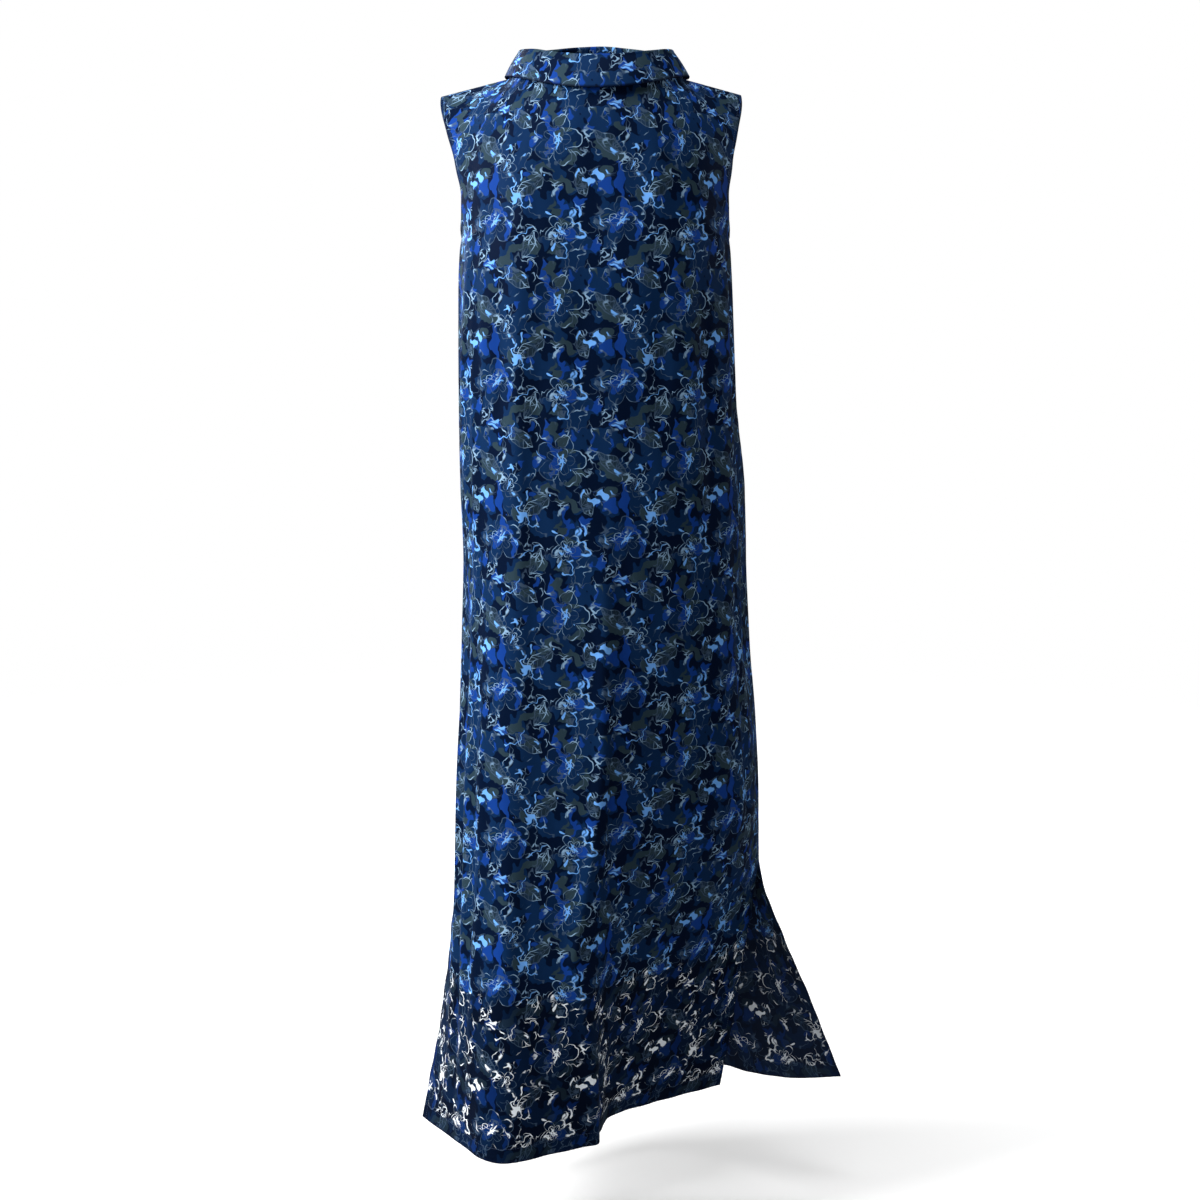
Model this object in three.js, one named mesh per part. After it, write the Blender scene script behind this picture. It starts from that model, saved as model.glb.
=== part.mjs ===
// Sleeveless column dress with a turned-down funnel collar and side slits, hanging as worn.
// Millimetres. X runs to the wearer's left, Y to the back, Z up.
// Zero is the middle of the shoulder line, at the height where the shoulders meet the neck.

import * as THREE from 'three';

// Heights
const HEM_Z = -1318;
const SLIT_Z = -1000;
const UNDERARM_Z = -190;
const ARMHOLE_TURN_Z = -150;

// Cloth
const CLOTH_WALL = 1.6;
const COLLAR_WALL = 2.0;
const SEAM_GAP = 0.3;

// Shoulder tips: x, y, z
const SHOULDER_TIP = {
  left: [-188, 12, -20],
  right: [176, 12, -18],
};

// Neckline: half width, centre, reach to the front and back, rise from the shoulder line
const NECK_HALF_WIDTH = 104;
const NECK_Y = 4;
const NECK = {
  front: { reach: -104, rise: -20 },
  back: { reach: 66, rise: 12 },
};

// Collar: top fold and free lower edge of the turned-down part
const COLLAR_FOLD = { left: 91, right: 91, y: -6, front: -79, back: 68, z: 28, frontRise: -16, backRise: 15 };
const COLLAR_EDGE = { left: 110, right: 113, y: 4, front: -110, back: 77, z: 1.8, frontRise: -27, backRise: 16 };
const COLLAR_FOLD_RADIUS = 2.2;

// Mesh density
const PANEL_COLUMNS = { front: 40, back: 36 };
const SHOULDER_COLUMNS = 7;
const SLIT_ROWS = 10;
const SKIRT_ROWS = 22;
const ARMHOLE_ROWS = 3;
const CHEST_ROWS = 10;
const SEAM_TOP_ROW = SLIT_ROWS + SKIRT_ROWS;
const CHEST_BASE_ROW = SEAM_TOP_ROW + ARMHOLE_ROWS;
const COLLAR_SEGMENTS = 48;
const STAND_STEPS = 3;
const FOLD_STEPS = 4;
const FALL_STEPS = 4;

// Side seams down to the top of the slit, led on above the underarm: z, x, y
const SIDE_SEAM = {
  left: [
    [-150, -162, 3],
    [-190, -164, 4],
    [-240, -167, 5],
    [-390, -170, 8],
    [-500, -170, 9],
    [-600, -160, 11],
    [-700, -166, 11],
    [-800, -174, 7],
    [-900, -178, 2],
    [-1000, -182, -4],
  ],
  right: [
    [-150, 161, 3],
    [-190, 163, 4],
    [-240, 165, 5],
    [-390, 175, 9],
    [-510, 188, 14],
    [-600, 184, 18],
    [-700, 188, 26],
    [-800, 205, 33],
    [-900, 213, 40],
    [-1000, 215, 46],
  ],
};

// Free edges of the panels beside the slits: z, x, y
const SLIT_EDGE = {
  front: {
    left: [
      [-1000, -182, -4],
      [-1105, -193, -11],
      [-1200, -206, -19],
      [-1318, -229, -33],
    ],
    right: [
      [-1000, 215, 46],
      [-1105, 201, 49],
      [-1200, 188, 53],
      [-1318, 169, 59],
    ],
  },
  back: {
    left: [
      [-1000, -182, -4],
      [-1105, -190, 3],
      [-1200, -200, 8],
      [-1318, -219, 13],
    ],
    right: [
      [-1000, 215, 46],
      [-1105, 245, 43],
      [-1200, 283, 38],
      [-1318, 329, 31],
    ],
  },
};

// Level sections of the panels between their side edges.
// Columns: z, then x and y of the side, ridge, hollow, middle fold, its foot, flat and far side.
const SECTIONS = {
  front: [
    [-150, -163, -60, -114, -114, -60, -125, 0, -123, 40, -125, 101, -115, 160, -62],
    [-190, -164, -60, -113, -120, -60, -128, 0, -127, 40, -129, 100, -122, 161, -64],
    [-240, -166, -62, -112, -126, -60, -131, 0, -130, 40, -131, 102, -127, 164, -64],
    [-390, -168, -56, -112, -124, -57, -129, 3, -131, 38, -129, 104, -122, 170, -58],
    [-640, -163, -46, -116, -128, -52, -126, 8, -134, 34, -124, 108, -112, 180, -50],
    [-900, -178, -54, -124, -136, -50, -127, 12, -132, 24, -104, 102, -88, 190, -34],
    [-1105, -182, -72, -126, -154, -50, -134, 14, -124, 14, -82, 74, -50, 160, 8],
    [-1318, -176, -104, -126, -172, -50, -132, 9, -107, 6, -42, 45, -12, 110, 26],
  ],
  back: [
    [-150, -163, 58, -118, 98, -60, 106, 0, 103, 60, 106, 118, 98, 161, 58],
    [-190, -164, 58, -118, 104, -60, 110, 0, 106, 60, 110, 118, 104, 163, 58],
    [-240, -166, 60, -116, 108, -60, 114, 0, 108, 60, 114, 120, 108, 165, 60],
    [-390, -170, 62, -114, 106, -58, 114, 0, 108, 62, 114, 124, 106, 178, 62],
    [-640, -180, 62, -120, 110, -58, 119, 0, 109, 66, 119, 134, 114, 204, 72],
    [-900, -184, 62, -130, 122, -60, 136, 0, 122, 66, 138, 144, 130, 218, 90],
    [-1105, -190, 66, -136, 130, -62, 150, 0, 130, 66, 150, 160, 136, 226, 94],
    [-1318, -208, 76, -140, 136, -62, 162, 0, 140, 66, 154, 190, 112, 245, 62],
  ],
};

// Soft folds falling from the bust and shoulder blades
const SOFT_FOLDS = [
  { panel: 'front', topShare: 0.225, lowShare: 0.235, topZ: -205, lowZ: -470, depth: 3, width: 12 },
  { panel: 'front', topShare: 0.275, lowShare: 0.28, topZ: -215, lowZ: -480, depth: -4, width: 11 },
  { panel: 'front', topShare: 0.325, lowShare: 0.31, topZ: -225, lowZ: -700, depth: 3, width: 12 },
  { panel: 'front', topShare: 0.66, lowShare: 0.65, topZ: -200, lowZ: -470, depth: -4, width: 13 },
  { panel: 'front', topShare: 0.71, lowShare: 0.74, topZ: -200, lowZ: -560, depth: 4, width: 12 },
  { panel: 'front', topShare: 0.76, lowShare: 0.79, topZ: -230, lowZ: -480, depth: -3, width: 11 },
  { panel: 'back', topShare: 0.27, lowShare: 0.25, topZ: -215, lowZ: -600, depth: 4, width: 14 },
  { panel: 'back', topShare: 0.72, lowShare: 0.75, topZ: -225, lowZ: -660, depth: 4, width: 14 },
];

// Share of a panel's width that an armhole takes from each side where its edge stands upright
const ARMHOLE_SHARE = { front: 0.1, back: 0.105 };

// How the chest and the back leave the shoulder seams and the neckline.
// Columns: share of the width from the armhole, way out to the side, to the front or back, and down.
const CHEST_LEAVE = {
  front: [
    [0, 5, 150, 80],
    [0.1, 25, 255, 65],
    [0.175, 60, 295, 10],
    [0.25, 60, 205, 65],
    [0.35, 25, 120, 115],
    [0.5, 0, 45, 130],
  ],
  back: [
    [0, 5, 130, 90],
    [0.1, 20, 225, 75],
    [0.19, 60, 255, 20],
    [0.26, 55, 190, 85],
    [0.36, 20, 130, 135],
    [0.5, 0, 75, 150],
  ],
};
const CHEST_ARRIVE = 120;
const CHEST_STEP = 12;
const RELAX_PASSES = 8;

// Rise of the hem where a corner swings outwards: share of the width, rise
const HEM_RISE = {
  front: [
    [0, 0],
    [1, 0],
  ],
  back: [
    [0, 4],
    [0.6, 4],
    [0.78, 5],
    [0.9, 13],
    [1, 26],
  ],
};

const SECTION_POINTS = 241;
const CORNER_CUTS = 4;
const EDGE_SHARE = 0.25;

const PANEL_COLOUR = 0x35537d;
const COLLAR_COLOUR = 0x3a5a86;

const clamp = (value, low, high) => Math.min(Math.max(value, low), high);
const mix = (a, b, share) => a.map((value, index) => value + (b[index] - value) * share);
const smooth = (value) => {
  const share = clamp(value, 0, 1);
  return share * share * (3 - 2 * share);
};

// Smooth values of a table's columns at a key; the keys rise or fall steadily down the rows.
function readTable(table, key) {
  const falling = table[0][0] > table[table.length - 1][0];
  const keyed = (row) => (falling ? -row[0] : row[0]);
  const wanted = clamp(falling ? -key : key, keyed(table[0]), keyed(table[table.length - 1]));
  let index = 0;
  while (index < table.length - 2 && keyed(table[index + 1]) <= wanted) index += 1;
  const slope = (row, column) => {
    const at = clamp(row, 0, table.length - 2);
    return (table[at + 1][column] - table[at][column]) / (keyed(table[at + 1]) - keyed(table[at]));
  };
  const tangent = (row, column) => {
    if (row === 0 || row === table.length - 1) return slope(row, column);
    const before = slope(row - 1, column);
    const after = slope(row, column);
    return before * after > 0 ? (2 * before * after) / (before + after) : 0;
  };
  const height = keyed(table[index + 1]) - keyed(table[index]);
  const share = (wanted - keyed(table[index])) / height;
  return table[index].slice(1).map((start, offset) => {
    const column = offset + 1;
    const end = table[index + 1][column];
    return hermite(start, end, tangent(index, column) * height, tangent(index + 1, column) * height, share);
  });
}

function hermite(start, end, startSlope, endSlope, share) {
  const rest = 1 - share;
  return (
    (1 + 2 * share) * rest * rest * start +
    share * rest * rest * startSlope +
    share * share * (3 - 2 * share) * end -
    share * share * rest * endSlope
  );
}

// Points spread evenly along a line of points, without the given share at each end.
function spreadEvenly(points, count, trim = 0) {
  const reach = [0];
  for (let i = 1; i < points.length; i += 1) {
    const step = Math.hypot(...points[i].map((value, axis) => value - points[i - 1][axis]));
    reach.push(reach[i - 1] + step);
  }
  const total = reach[reach.length - 1];
  const spread = [];
  let at = 0;
  for (let i = 0; i < count; i += 1) {
    const wanted = total * (trim + ((1 - 2 * trim) * i) / (count - 1));
    while (at < points.length - 2 && reach[at + 1] < wanted) at += 1;
    spread.push(mix(points[at], points[at + 1], (wanted - reach[at]) / (reach[at + 1] - reach[at])));
  }
  return { points: spread, length: total };
}

// A curve that keeps the ends of a line of points and touches the middle of every run.
function roundCorners(points) {
  let line = points;
  for (let turn = 0; turn < CORNER_CUTS; turn += 1) {
    const cut = [line[0]];
    for (let i = 0; i + 1 < line.length; i += 1) {
      cut.push(mix(line[i], line[i + 1], EDGE_SHARE), mix(line[i], line[i + 1], 1 - EDGE_SHARE));
    }
    cut.push(line[line.length - 1]);
    line = cut;
  }
  return line;
}

// Push of the soft folds on a panel at one share of its width.
function foldPush(panel, z, share, width) {
  let push = 0;
  for (const fold of SOFT_FOLDS) {
    if (fold.panel !== panel || z >= fold.topZ || z <= fold.lowZ) continue;
    const down = (fold.topZ - z) / (fold.topZ - fold.lowZ);
    const centre = fold.topShare + (fold.lowShare - fold.topShare) * down;
    const distance = ((share - centre) * width) / fold.width;
    push += fold.depth * Math.sin(Math.PI * down) * Math.exp(-distance * distance);
  }
  return push;
}

// Level section of a panel, from the wearer's right to the left, trimmed at both ends for the armholes.
function section(panel, z, trim, count) {
  const edges = z > SLIT_Z ? SIDE_SEAM : SLIT_EDGE[panel];
  const guide = readTable(SECTIONS[panel], z);
  const corners = [readTable(edges.left, z)];
  for (let i = 0; i < guide.length; i += 2) corners.push([guide[i], guide[i + 1]]);
  corners.push(readTable(edges.right, z));
  const curve = spreadEvenly(roundCorners(corners), SECTION_POINTS);
  const outwards = panel === 'front' ? 1 : -1;
  const folded = curve.points.map((point, i) => {
    const before = curve.points[Math.max(i - 1, 0)];
    const after = curve.points[Math.min(i + 1, SECTION_POINTS - 1)];
    const run = Math.hypot(after[0] - before[0], after[1] - before[1]);
    const push = foldPush(panel, z, i / (SECTION_POINTS - 1), curve.length) * outwards;
    return [
      point[0] + ((after[1] - before[1]) / run) * push,
      point[1] - ((after[0] - before[0]) / run) * push,
    ];
  });
  return spreadEvenly(folded, count, trim).points;
}

function neckPoint(panel, angle) {
  const { reach, rise } = NECK[panel];
  const turn = Math.sin(angle);
  return [-NECK_HALF_WIDTH * Math.cos(angle), NECK_Y + reach * turn, rise * turn * turn];
}

// Top edge of a panel: shoulder seam, neckline, shoulder seam.
function topEdge(panel, columns) {
  const neckColumns = columns - 2 * SHOULDER_COLUMNS;
  const line = [];
  for (let j = 0; j < SHOULDER_COLUMNS; j += 1) {
    line.push(mix(SHOULDER_TIP.left, neckPoint(panel, 0), j / SHOULDER_COLUMNS));
  }
  for (let j = 0; j <= neckColumns; j += 1) line.push(neckPoint(panel, (Math.PI * j) / neckColumns));
  for (let j = 1; j <= SHOULDER_COLUMNS; j += 1) {
    line.push(mix(neckPoint(panel, Math.PI), SHOULDER_TIP.right, j / SHOULDER_COLUMNS));
  }
  return line;
}

// Rows of points of a panel's outer side, from the hem up to the shoulders.
function panelRows(panel) {
  const columns = PANEL_COLUMNS[panel];
  const heights = [];
  for (let i = 0; i < SLIT_ROWS; i += 1) heights.push(HEM_Z + ((SLIT_Z - HEM_Z) * i) / SLIT_ROWS);
  for (let i = 0; i <= SKIRT_ROWS; i += 1) heights.push(SLIT_Z + ((UNDERARM_Z - SLIT_Z) * i) / SKIRT_ROWS);
  const rows = heights.map((z) =>
    section(panel, z, 0, columns + 1).map(([x, y], j) => {
      const [rise] = readTable(HEM_RISE[panel], j / columns);
      const swing = 2 * smooth((SLIT_Z - z) / (SLIT_Z - HEM_Z) / 2);
      return [x, y, z + rise * swing];
    }),
  );

  // The armhole's edge curves from the underarm to the height where it stands upright.
  for (let i = 1; i <= ARMHOLE_ROWS; i += 1) {
    const turn = (Math.PI / 2) * (i / ARMHOLE_ROWS);
    const z = UNDERARM_Z + (ARMHOLE_TURN_Z - UNDERARM_Z) * (1 - Math.cos(turn));
    const trim = ARMHOLE_SHARE[panel] * Math.sin(turn);
    rows.push(section(panel, z, trim, columns + 1).map(([x, y]) => [x, y, z]));
  }

  const base = rows[rows.length - 1];
  const below = section(panel, ARMHOLE_TURN_Z - CHEST_STEP, ARMHOLE_SHARE[panel], columns + 1);
  const top = topEdge(panel, columns);
  const outwards = panel === 'front' ? -1 : 1;
  for (let i = 1; i <= CHEST_ROWS; i += 1) {
    const down = 1 - i / CHEST_ROWS;
    rows.push(
      base.map((point, j) => {
        const share = j / columns;
        const [aside, forwards, drop] = readTable(CHEST_LEAVE[panel], Math.min(share, 1 - share));
        const leave = [share < 0.5 ? -aside : aside, outwards * forwards, -drop];
        const fall = [...below[j], ARMHOLE_TURN_Z - CHEST_STEP];
        return point.map((value, axis) => {
          const arrive = ((fall[axis] - value) / CHEST_STEP) * CHEST_ARRIVE;
          return hermite(top[j][axis], value, leave[axis], arrive, down);
        });
      }),
    );
  }
  return relaxChest(rows);
}

// Lets the cloth of the chest and the upper back settle between its edges.
function relaxChest(rows) {
  let settled = rows;
  for (let pass = 0; pass < RELAX_PASSES; pass += 1) {
    const from = settled;
    settled = from.map((row, i) => {
      if (i <= CHEST_BASE_ROW || i === from.length - 1) return row;
      return row.map((point, j) => {
        if (j === 0 || j === row.length - 1) return point;
        const around = [row[j - 1], row[j + 1], from[i - 1][j], from[i + 1][j]];
        return point.map((_, axis) => around.reduce((sum, near) => sum + near[axis], 0) / around.length);
      });
    });
  }
  return settled;
}

// Directions pointing out of the cloth; along seams they lie in the plane between the two panels.
function outwardDirections(rows, panel) {
  const last = rows.length - 1;
  const end = rows[0].length - 1;
  return rows.map((row, i) =>
    row.map((_, j) => {
      const along = new THREE.Vector3(...row[Math.min(j + 1, end)]);
      along.sub(new THREE.Vector3(...row[Math.max(j - 1, 0)]));
      const up = new THREE.Vector3(...rows[Math.min(i + 1, last)][j]);
      up.sub(new THREE.Vector3(...rows[Math.max(i - 1, 0)][j]));
      const direction = along.cross(up).normalize();
      if (panel === 'back') direction.negate();
      const onSide = (j === 0 || j === end) && i <= SEAM_TOP_ROW;
      const onShoulder = i === last && (j <= SHOULDER_COLUMNS || j >= end - SHOULDER_COLUMNS);
      if (onSide || onShoulder) direction.setY(0).normalize();
      return direction;
    }),
  );
}

// Moves the joined edges of a panel half a seam gap apart.
function partSeams(rows, panel) {
  const last = rows.length - 1;
  const end = rows[0].length - 1;
  const step = (panel === 'front' ? -SEAM_GAP : SEAM_GAP) / 2;
  return rows.map((row, i) =>
    row.map(([x, y, z], j) => {
      const onSide = (j === 0 || j === end) && i >= SLIT_ROWS && i <= SEAM_TOP_ROW;
      const onShoulder = i === last && (j <= SHOULDER_COLUMNS || j >= end - SHOULDER_COLUMNS);
      return onSide || onShoulder ? [x, y + step, z] : [x, y, z];
    }),
  );
}

function solid(points, faces, name, colour) {
  const geometry = new THREE.BufferGeometry();
  geometry.setAttribute('position', new THREE.Float32BufferAttribute(points.flat(), 3));
  geometry.setIndex(faces.flat());
  geometry.computeVertexNormals();
  const material = new THREE.MeshStandardMaterial({ color: colour, roughness: 0.75, metalness: 0 });
  const mesh = new THREE.Mesh(geometry, material);
  mesh.name = name;
  return mesh;
}

// A panel with its wall: outer side, inner side and the edges between them.
function panelSolid(panel, name) {
  const rows = partSeams(panelRows(panel), panel);
  const directions = outwardDirections(rows, panel);
  const height = rows.length;
  const width = rows[0].length;
  const outer = rows.flat();
  const inner = outer.map((point, k) => {
    const direction = directions.flat()[k];
    return [
      point[0] - direction.x * CLOTH_WALL,
      point[1] - direction.y * CLOTH_WALL,
      point[2] - direction.z * CLOTH_WALL,
    ];
  });
  const inside = height * width;
  const faces = [];
  const quad = (a, b, c, d) => {
    if (panel === 'front') faces.push([a, b, c], [a, c, d]);
    else faces.push([a, c, b], [a, d, c]);
  };
  for (let i = 0; i + 1 < height; i += 1) {
    for (let j = 0; j + 1 < width; j += 1) {
      const a = i * width + j;
      const d = a + width;
      quad(a, a + 1, d + 1, d);
      quad(inside + a, inside + d, inside + d + 1, inside + a + 1);
    }
    const a = i * width;
    const b = a + width - 1;
    quad(a, a + width, inside + a + width, inside + a);
    quad(b + width, b, inside + b, inside + b + width);
  }
  for (let j = 0; j + 1 < width; j += 1) {
    const b = (height - 1) * width + j;
    quad(j + 1, j, inside + j, inside + j + 1);
    quad(b, b + 1, inside + b + 1, inside + b);
  }
  return solid([...outer, ...inner], faces, name, PANEL_COLOUR);
}

// A point of a collar line at an angle round the neck, with its way out from the neck.
function collarPoint(line, angle) {
  const across = Math.cos(angle);
  const deep = Math.sin(angle);
  const half = across > 0 ? line.right : line.left;
  const reach = deep > 0 ? line.back : -line.front;
  const rise = deep > 0 ? line.backRise : line.frontRise;
  const out = new THREE.Vector3(across / half, deep / reach, 0).normalize();
  const at = new THREE.Vector3(half * across, line.y + reach * deep, line.z + rise * deep * deep);
  return { at, out };
}

// The collar: a stand that rises from the neckline, folds over and falls outside.
function collarSolid() {
  const seamLine = {
    left: NECK_HALF_WIDTH,
    right: NECK_HALF_WIDTH,
    y: NECK_Y,
    front: NECK.front.reach,
    back: NECK.back.reach,
    z: SEAM_GAP,
    frontRise: NECK.front.rise,
    backRise: NECK.back.rise,
  };
  const half = COLLAR_WALL / 2;
  const points = [];
  let around = 0;
  for (let k = 0; k < COLLAR_SEGMENTS; k += 1) {
    const angle = (2 * Math.PI * k) / COLLAR_SEGMENTS;
    const seam = collarPoint(seamLine, angle);
    const fold = collarPoint(COLLAR_FOLD, angle);
    const edge = collarPoint(COLLAR_EDGE, angle);
    const foot = seam.at.clone().addScaledVector(seam.out, -half - SEAM_GAP);
    const standTop = fold.at.clone().addScaledVector(fold.out, -COLLAR_FOLD_RADIUS);
    const fallTop = fold.at.clone().addScaledVector(fold.out, COLLAR_FOLD_RADIUS);
    const path = [];
    for (let i = 0; i < STAND_STEPS; i += 1) path.push(foot.clone().lerp(standTop, i / STAND_STEPS));
    for (let i = 0; i <= FOLD_STEPS; i += 1) {
      const bend = Math.PI * (1 - i / FOLD_STEPS);
      const turn = fold.at.clone().addScaledVector(fold.out, COLLAR_FOLD_RADIUS * Math.cos(bend));
      turn.z += COLLAR_FOLD_RADIUS * Math.sin(bend);
      path.push(turn);
    }
    for (let i = 1; i <= FALL_STEPS; i += 1) path.push(fallTop.clone().lerp(edge.at, i / FALL_STEPS));
    const outer = [];
    const inner = [];
    path.forEach((point, i) => {
      const run = path[Math.min(i + 1, path.length - 1)].clone().sub(path[Math.max(i - 1, 0)]);
      const level = run.dot(fold.out);
      const length = Math.hypot(level, run.z);
      const offset = fold.out.clone().multiplyScalar((-run.z / length) * half);
      offset.z = (level / length) * half;
      outer.push(point.clone().add(offset).toArray());
      inner.unshift(point.clone().sub(offset).toArray());
    });
    points.push(...outer, ...inner);
    around = outer.length + inner.length;
  }
  const faces = [];
  for (let k = 0; k < COLLAR_SEGMENTS; k += 1) {
    const here = k * around;
    const next = ((k + 1) % COLLAR_SEGMENTS) * around;
    for (let i = 0; i < around; i += 1) {
      const j = (i + 1) % around;
      faces.push([here + i, next + j, next + i], [here + i, here + j, next + j]);
    }
  }
  return solid(points, faces, 'collar', COLLAR_COLOUR);
}

const dress = new THREE.Group();
dress.name = 'dress';
dress.add(panelSolid('front', 'front_panel'));
dress.add(panelSolid('back', 'back_panel'));
dress.add(collarSolid());

export default dress;
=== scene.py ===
"""Sleeveless column dress with a turned-down funnel collar and side slits, hanging as worn.

The scene is in metres and the pattern tables are in millimetres. X runs to the wearer's left,
Y to the back and Z up. Zero is the middle of the shoulder line.
"""
import logging
import math
from dataclasses import dataclass, field
from enum import Enum
from functools import reduce

import bpy
import numpy as np
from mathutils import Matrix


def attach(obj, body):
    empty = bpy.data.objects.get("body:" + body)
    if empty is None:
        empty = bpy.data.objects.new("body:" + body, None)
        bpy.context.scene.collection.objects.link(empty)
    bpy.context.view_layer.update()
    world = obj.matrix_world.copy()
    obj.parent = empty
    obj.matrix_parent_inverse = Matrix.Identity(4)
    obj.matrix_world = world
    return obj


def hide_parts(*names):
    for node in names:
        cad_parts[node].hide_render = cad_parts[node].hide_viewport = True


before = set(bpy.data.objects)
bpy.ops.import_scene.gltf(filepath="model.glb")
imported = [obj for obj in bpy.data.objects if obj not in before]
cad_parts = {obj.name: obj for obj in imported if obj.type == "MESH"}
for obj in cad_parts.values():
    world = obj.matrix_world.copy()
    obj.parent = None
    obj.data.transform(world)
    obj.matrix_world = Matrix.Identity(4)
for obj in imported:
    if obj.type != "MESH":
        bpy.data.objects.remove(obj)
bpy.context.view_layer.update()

LOG = logging.getLogger("dress")
MM = 0.001

# Heights of the dress
HEM_Z = -1318.0
SLIT_Z = -1000.0
UNDERARM_Z = -190.0
ARMHOLE_TURN_Z = -150.0
FLOOR_Z = -1470.0

# Shoulders and neckline
SHOULDER_TIP = {"left": np.array([-188.0, 12.0, -20.0]), "right": np.array([176.0, 12.0, -18.0])}
NECK_HALF_WIDTH = 104.0
NECK_Y = 4.0
SEAM_GAP = 0.3

# How the curves are cut
SECTION_POINTS = 361
CORNER_CUTS = 5
CUT_SHARE = 0.25
CHEST_ARRIVE = 120.0
CHEST_STEP = 12.0

# Where the rows and columns of a panel lie closer: millimetres above the hem, shares of the width
FINE_ROWS = (1.2, 2.6, 19.0, 21.0)
FINE_COLUMNS = (0.002, 0.0045, 0.0085, 0.014)
CLEAR_COLUMN = 0.4
EASE_SHARE = 0.03

# Share of an open crease's length over which it grows to its full depth
FULL_DEPTH = 0.45

# How the panels part at the ends of a side seam, how their edges are turned and stitched, and how
# wide the painted shade runs along the free edges and the hem
SEAM_END = 4.0
PARTING_SLIT = 45.0
PARTING_ARMHOLE = 12.0
TURN_STEP = 2.5
SIDE_EDGE_SHADE = 2.2
HEM_EDGE_SHADE = 2.4
STITCH_INSET = 2.0
STITCH_LIFT = 0.05
SLIT_TURN_ABOVE = 12.0

# Where the cloth's own unevenness starts and how fast it grows away from what holds it
PUCKER_START = 4.0
HEM_PUCKER_AT = 12.0
FREE_STEP = 25.0
TOP_CALM = 14.0
SIDE_CALM = 9.0

# Ranges that small creases and waves are drawn from, and how waves are stretched. A wave's
# turns are in radians to the millimetre.
CREASE_START = (-1150.0, -80.0)
CREASE_LENGTH = (130.0, 420.0)
CREASE_PLACE = (0.06, 0.94)
CREASE_LEAN = (-0.025, 0.025)
CREASE_DEPTH = (0.8, 1.9)
CREASE_WIDTH = (7.0, 15.0)
WAVE_TURNS = (0.010, 0.028)
WAVE_STRETCH = (6.0, 0.45)

# Side seams down to the top of the slit, led on above the underarm: z, x, y
SIDE_SEAM = {
    "left": [
        (-150, -162, 3), (-190, -164, 4), (-240, -167, 5), (-390, -170, 8), (-500, -170, 9),
        (-600, -160, 11), (-700, -166, 11), (-800, -174, 7), (-900, -178, 2), (-1000, -182, -4),
    ],
    "right": [
        (-150, 161, 3), (-190, 163, 4), (-240, 165, 5), (-390, 175, 9), (-510, 188, 14),
        (-600, 184, 18), (-700, 188, 26), (-800, 205, 33), (-900, 213, 40), (-1000, 215, 46),
    ],
}


class Panel(Enum):
    """The two panels of the dress."""

    FRONT = "front"
    BACK = "back"

    @property
    def outwards(self) -> float:
        """Sign of the way out of the dress along Y."""
        return -1.0 if self is Panel.FRONT else 1.0


class Side(Enum):
    """Which side of the cloth a material covers."""

    RIGHT = "right_side"
    WRONG = "wrong_side"


def smooth(value: np.ndarray) -> np.ndarray:
    """Eases a share from 0 to 1.

    Args:
        value: Shares of any size.

    Returns:
        The eased shares, held between 0 and 1.
    """
    share = np.clip(value, 0.0, 1.0)
    return share * share * (3 - 2 * share)


def bell(distance: np.ndarray, half_width: float) -> np.ndarray:
    """A bell curve of height 1 over a distance."""
    return np.exp(-((distance / half_width) ** 2))


def unit(vectors: np.ndarray) -> np.ndarray:
    """The same directions at length 1."""
    return vectors / np.linalg.norm(vectors, axis=-1)[..., None]


def running(steps: np.ndarray, axis: int = 0) -> np.ndarray:
    """Running total of steps along an axis, from zero."""
    return np.concatenate([0 * steps.take([0], axis), np.cumsum(steps, axis)], axis)


def hermite(
    start: np.ndarray,
    end: np.ndarray,
    start_slope: np.ndarray,
    end_slope: np.ndarray,
    share: np.ndarray,
) -> np.ndarray:
    """Blends two values with a slope at each.

    Args:
        start: Values at share 0.
        end: Values at share 1.
        start_slope: Slopes at share 0.
        end_slope: Slopes at share 1.
        share: Shares between the two.

    Returns:
        The blended values.
    """
    rest = 1 - share
    return (
        (1 + 2 * share) * rest * rest * start
        + share * rest * rest * start_slope
        + share * share * (3 - 2 * share) * end
        - share * share * rest * end_slope
    )


def read_table(rows: list[tuple[float, ...]], keys: np.ndarray) -> np.ndarray:
    """Smooth values of a table's columns that never overshoot its rows.

    Args:
        rows: The table, with the key in the first column.
        keys: The keys to read at, of any shape.

    Returns:
        An array of the keys' shape with one more axis for the other columns.
    """
    table = np.array(sorted(rows), float)
    at, values = table[:, 0], table[:, 1:]
    keys = np.clip(keys, at[0], at[-1])
    gaps = np.diff(at)[:, None]
    slopes = np.diff(values, axis=0) / gaps
    tangents = np.empty_like(values)
    tangents[0], tangents[-1] = slopes[0], slopes[-1]
    product = slopes[:-1] * slopes[1:]
    total = slopes[:-1] + slopes[1:]
    tangents[1:-1] = np.where(product > 0, 2 * product / np.where(product > 0, total, 1), 0)
    row = np.clip(np.searchsorted(at, keys, side="right") - 1, 0, len(at) - 2)
    gap = gaps[row]
    share = (keys - at[row])[..., None] / gap
    low, high = tangents[row] * gap, tangents[row + 1] * gap
    return hermite(values[row], values[row + 1], low, high, share)


def spread(points: np.ndarray, shares: np.ndarray) -> tuple[np.ndarray, float]:
    """Points at given shares of a line's length.

    Args:
        points: The line's points.
        shares: Shares of its length.

    Returns:
        The points there, and the line's length.
    """
    reach = running(np.linalg.norm(np.diff(points, axis=0), axis=1))
    wanted = shares * reach[-1]
    return np.stack([np.interp(wanted, reach, axis) for axis in points.T], axis=-1), reach[-1]


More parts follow.
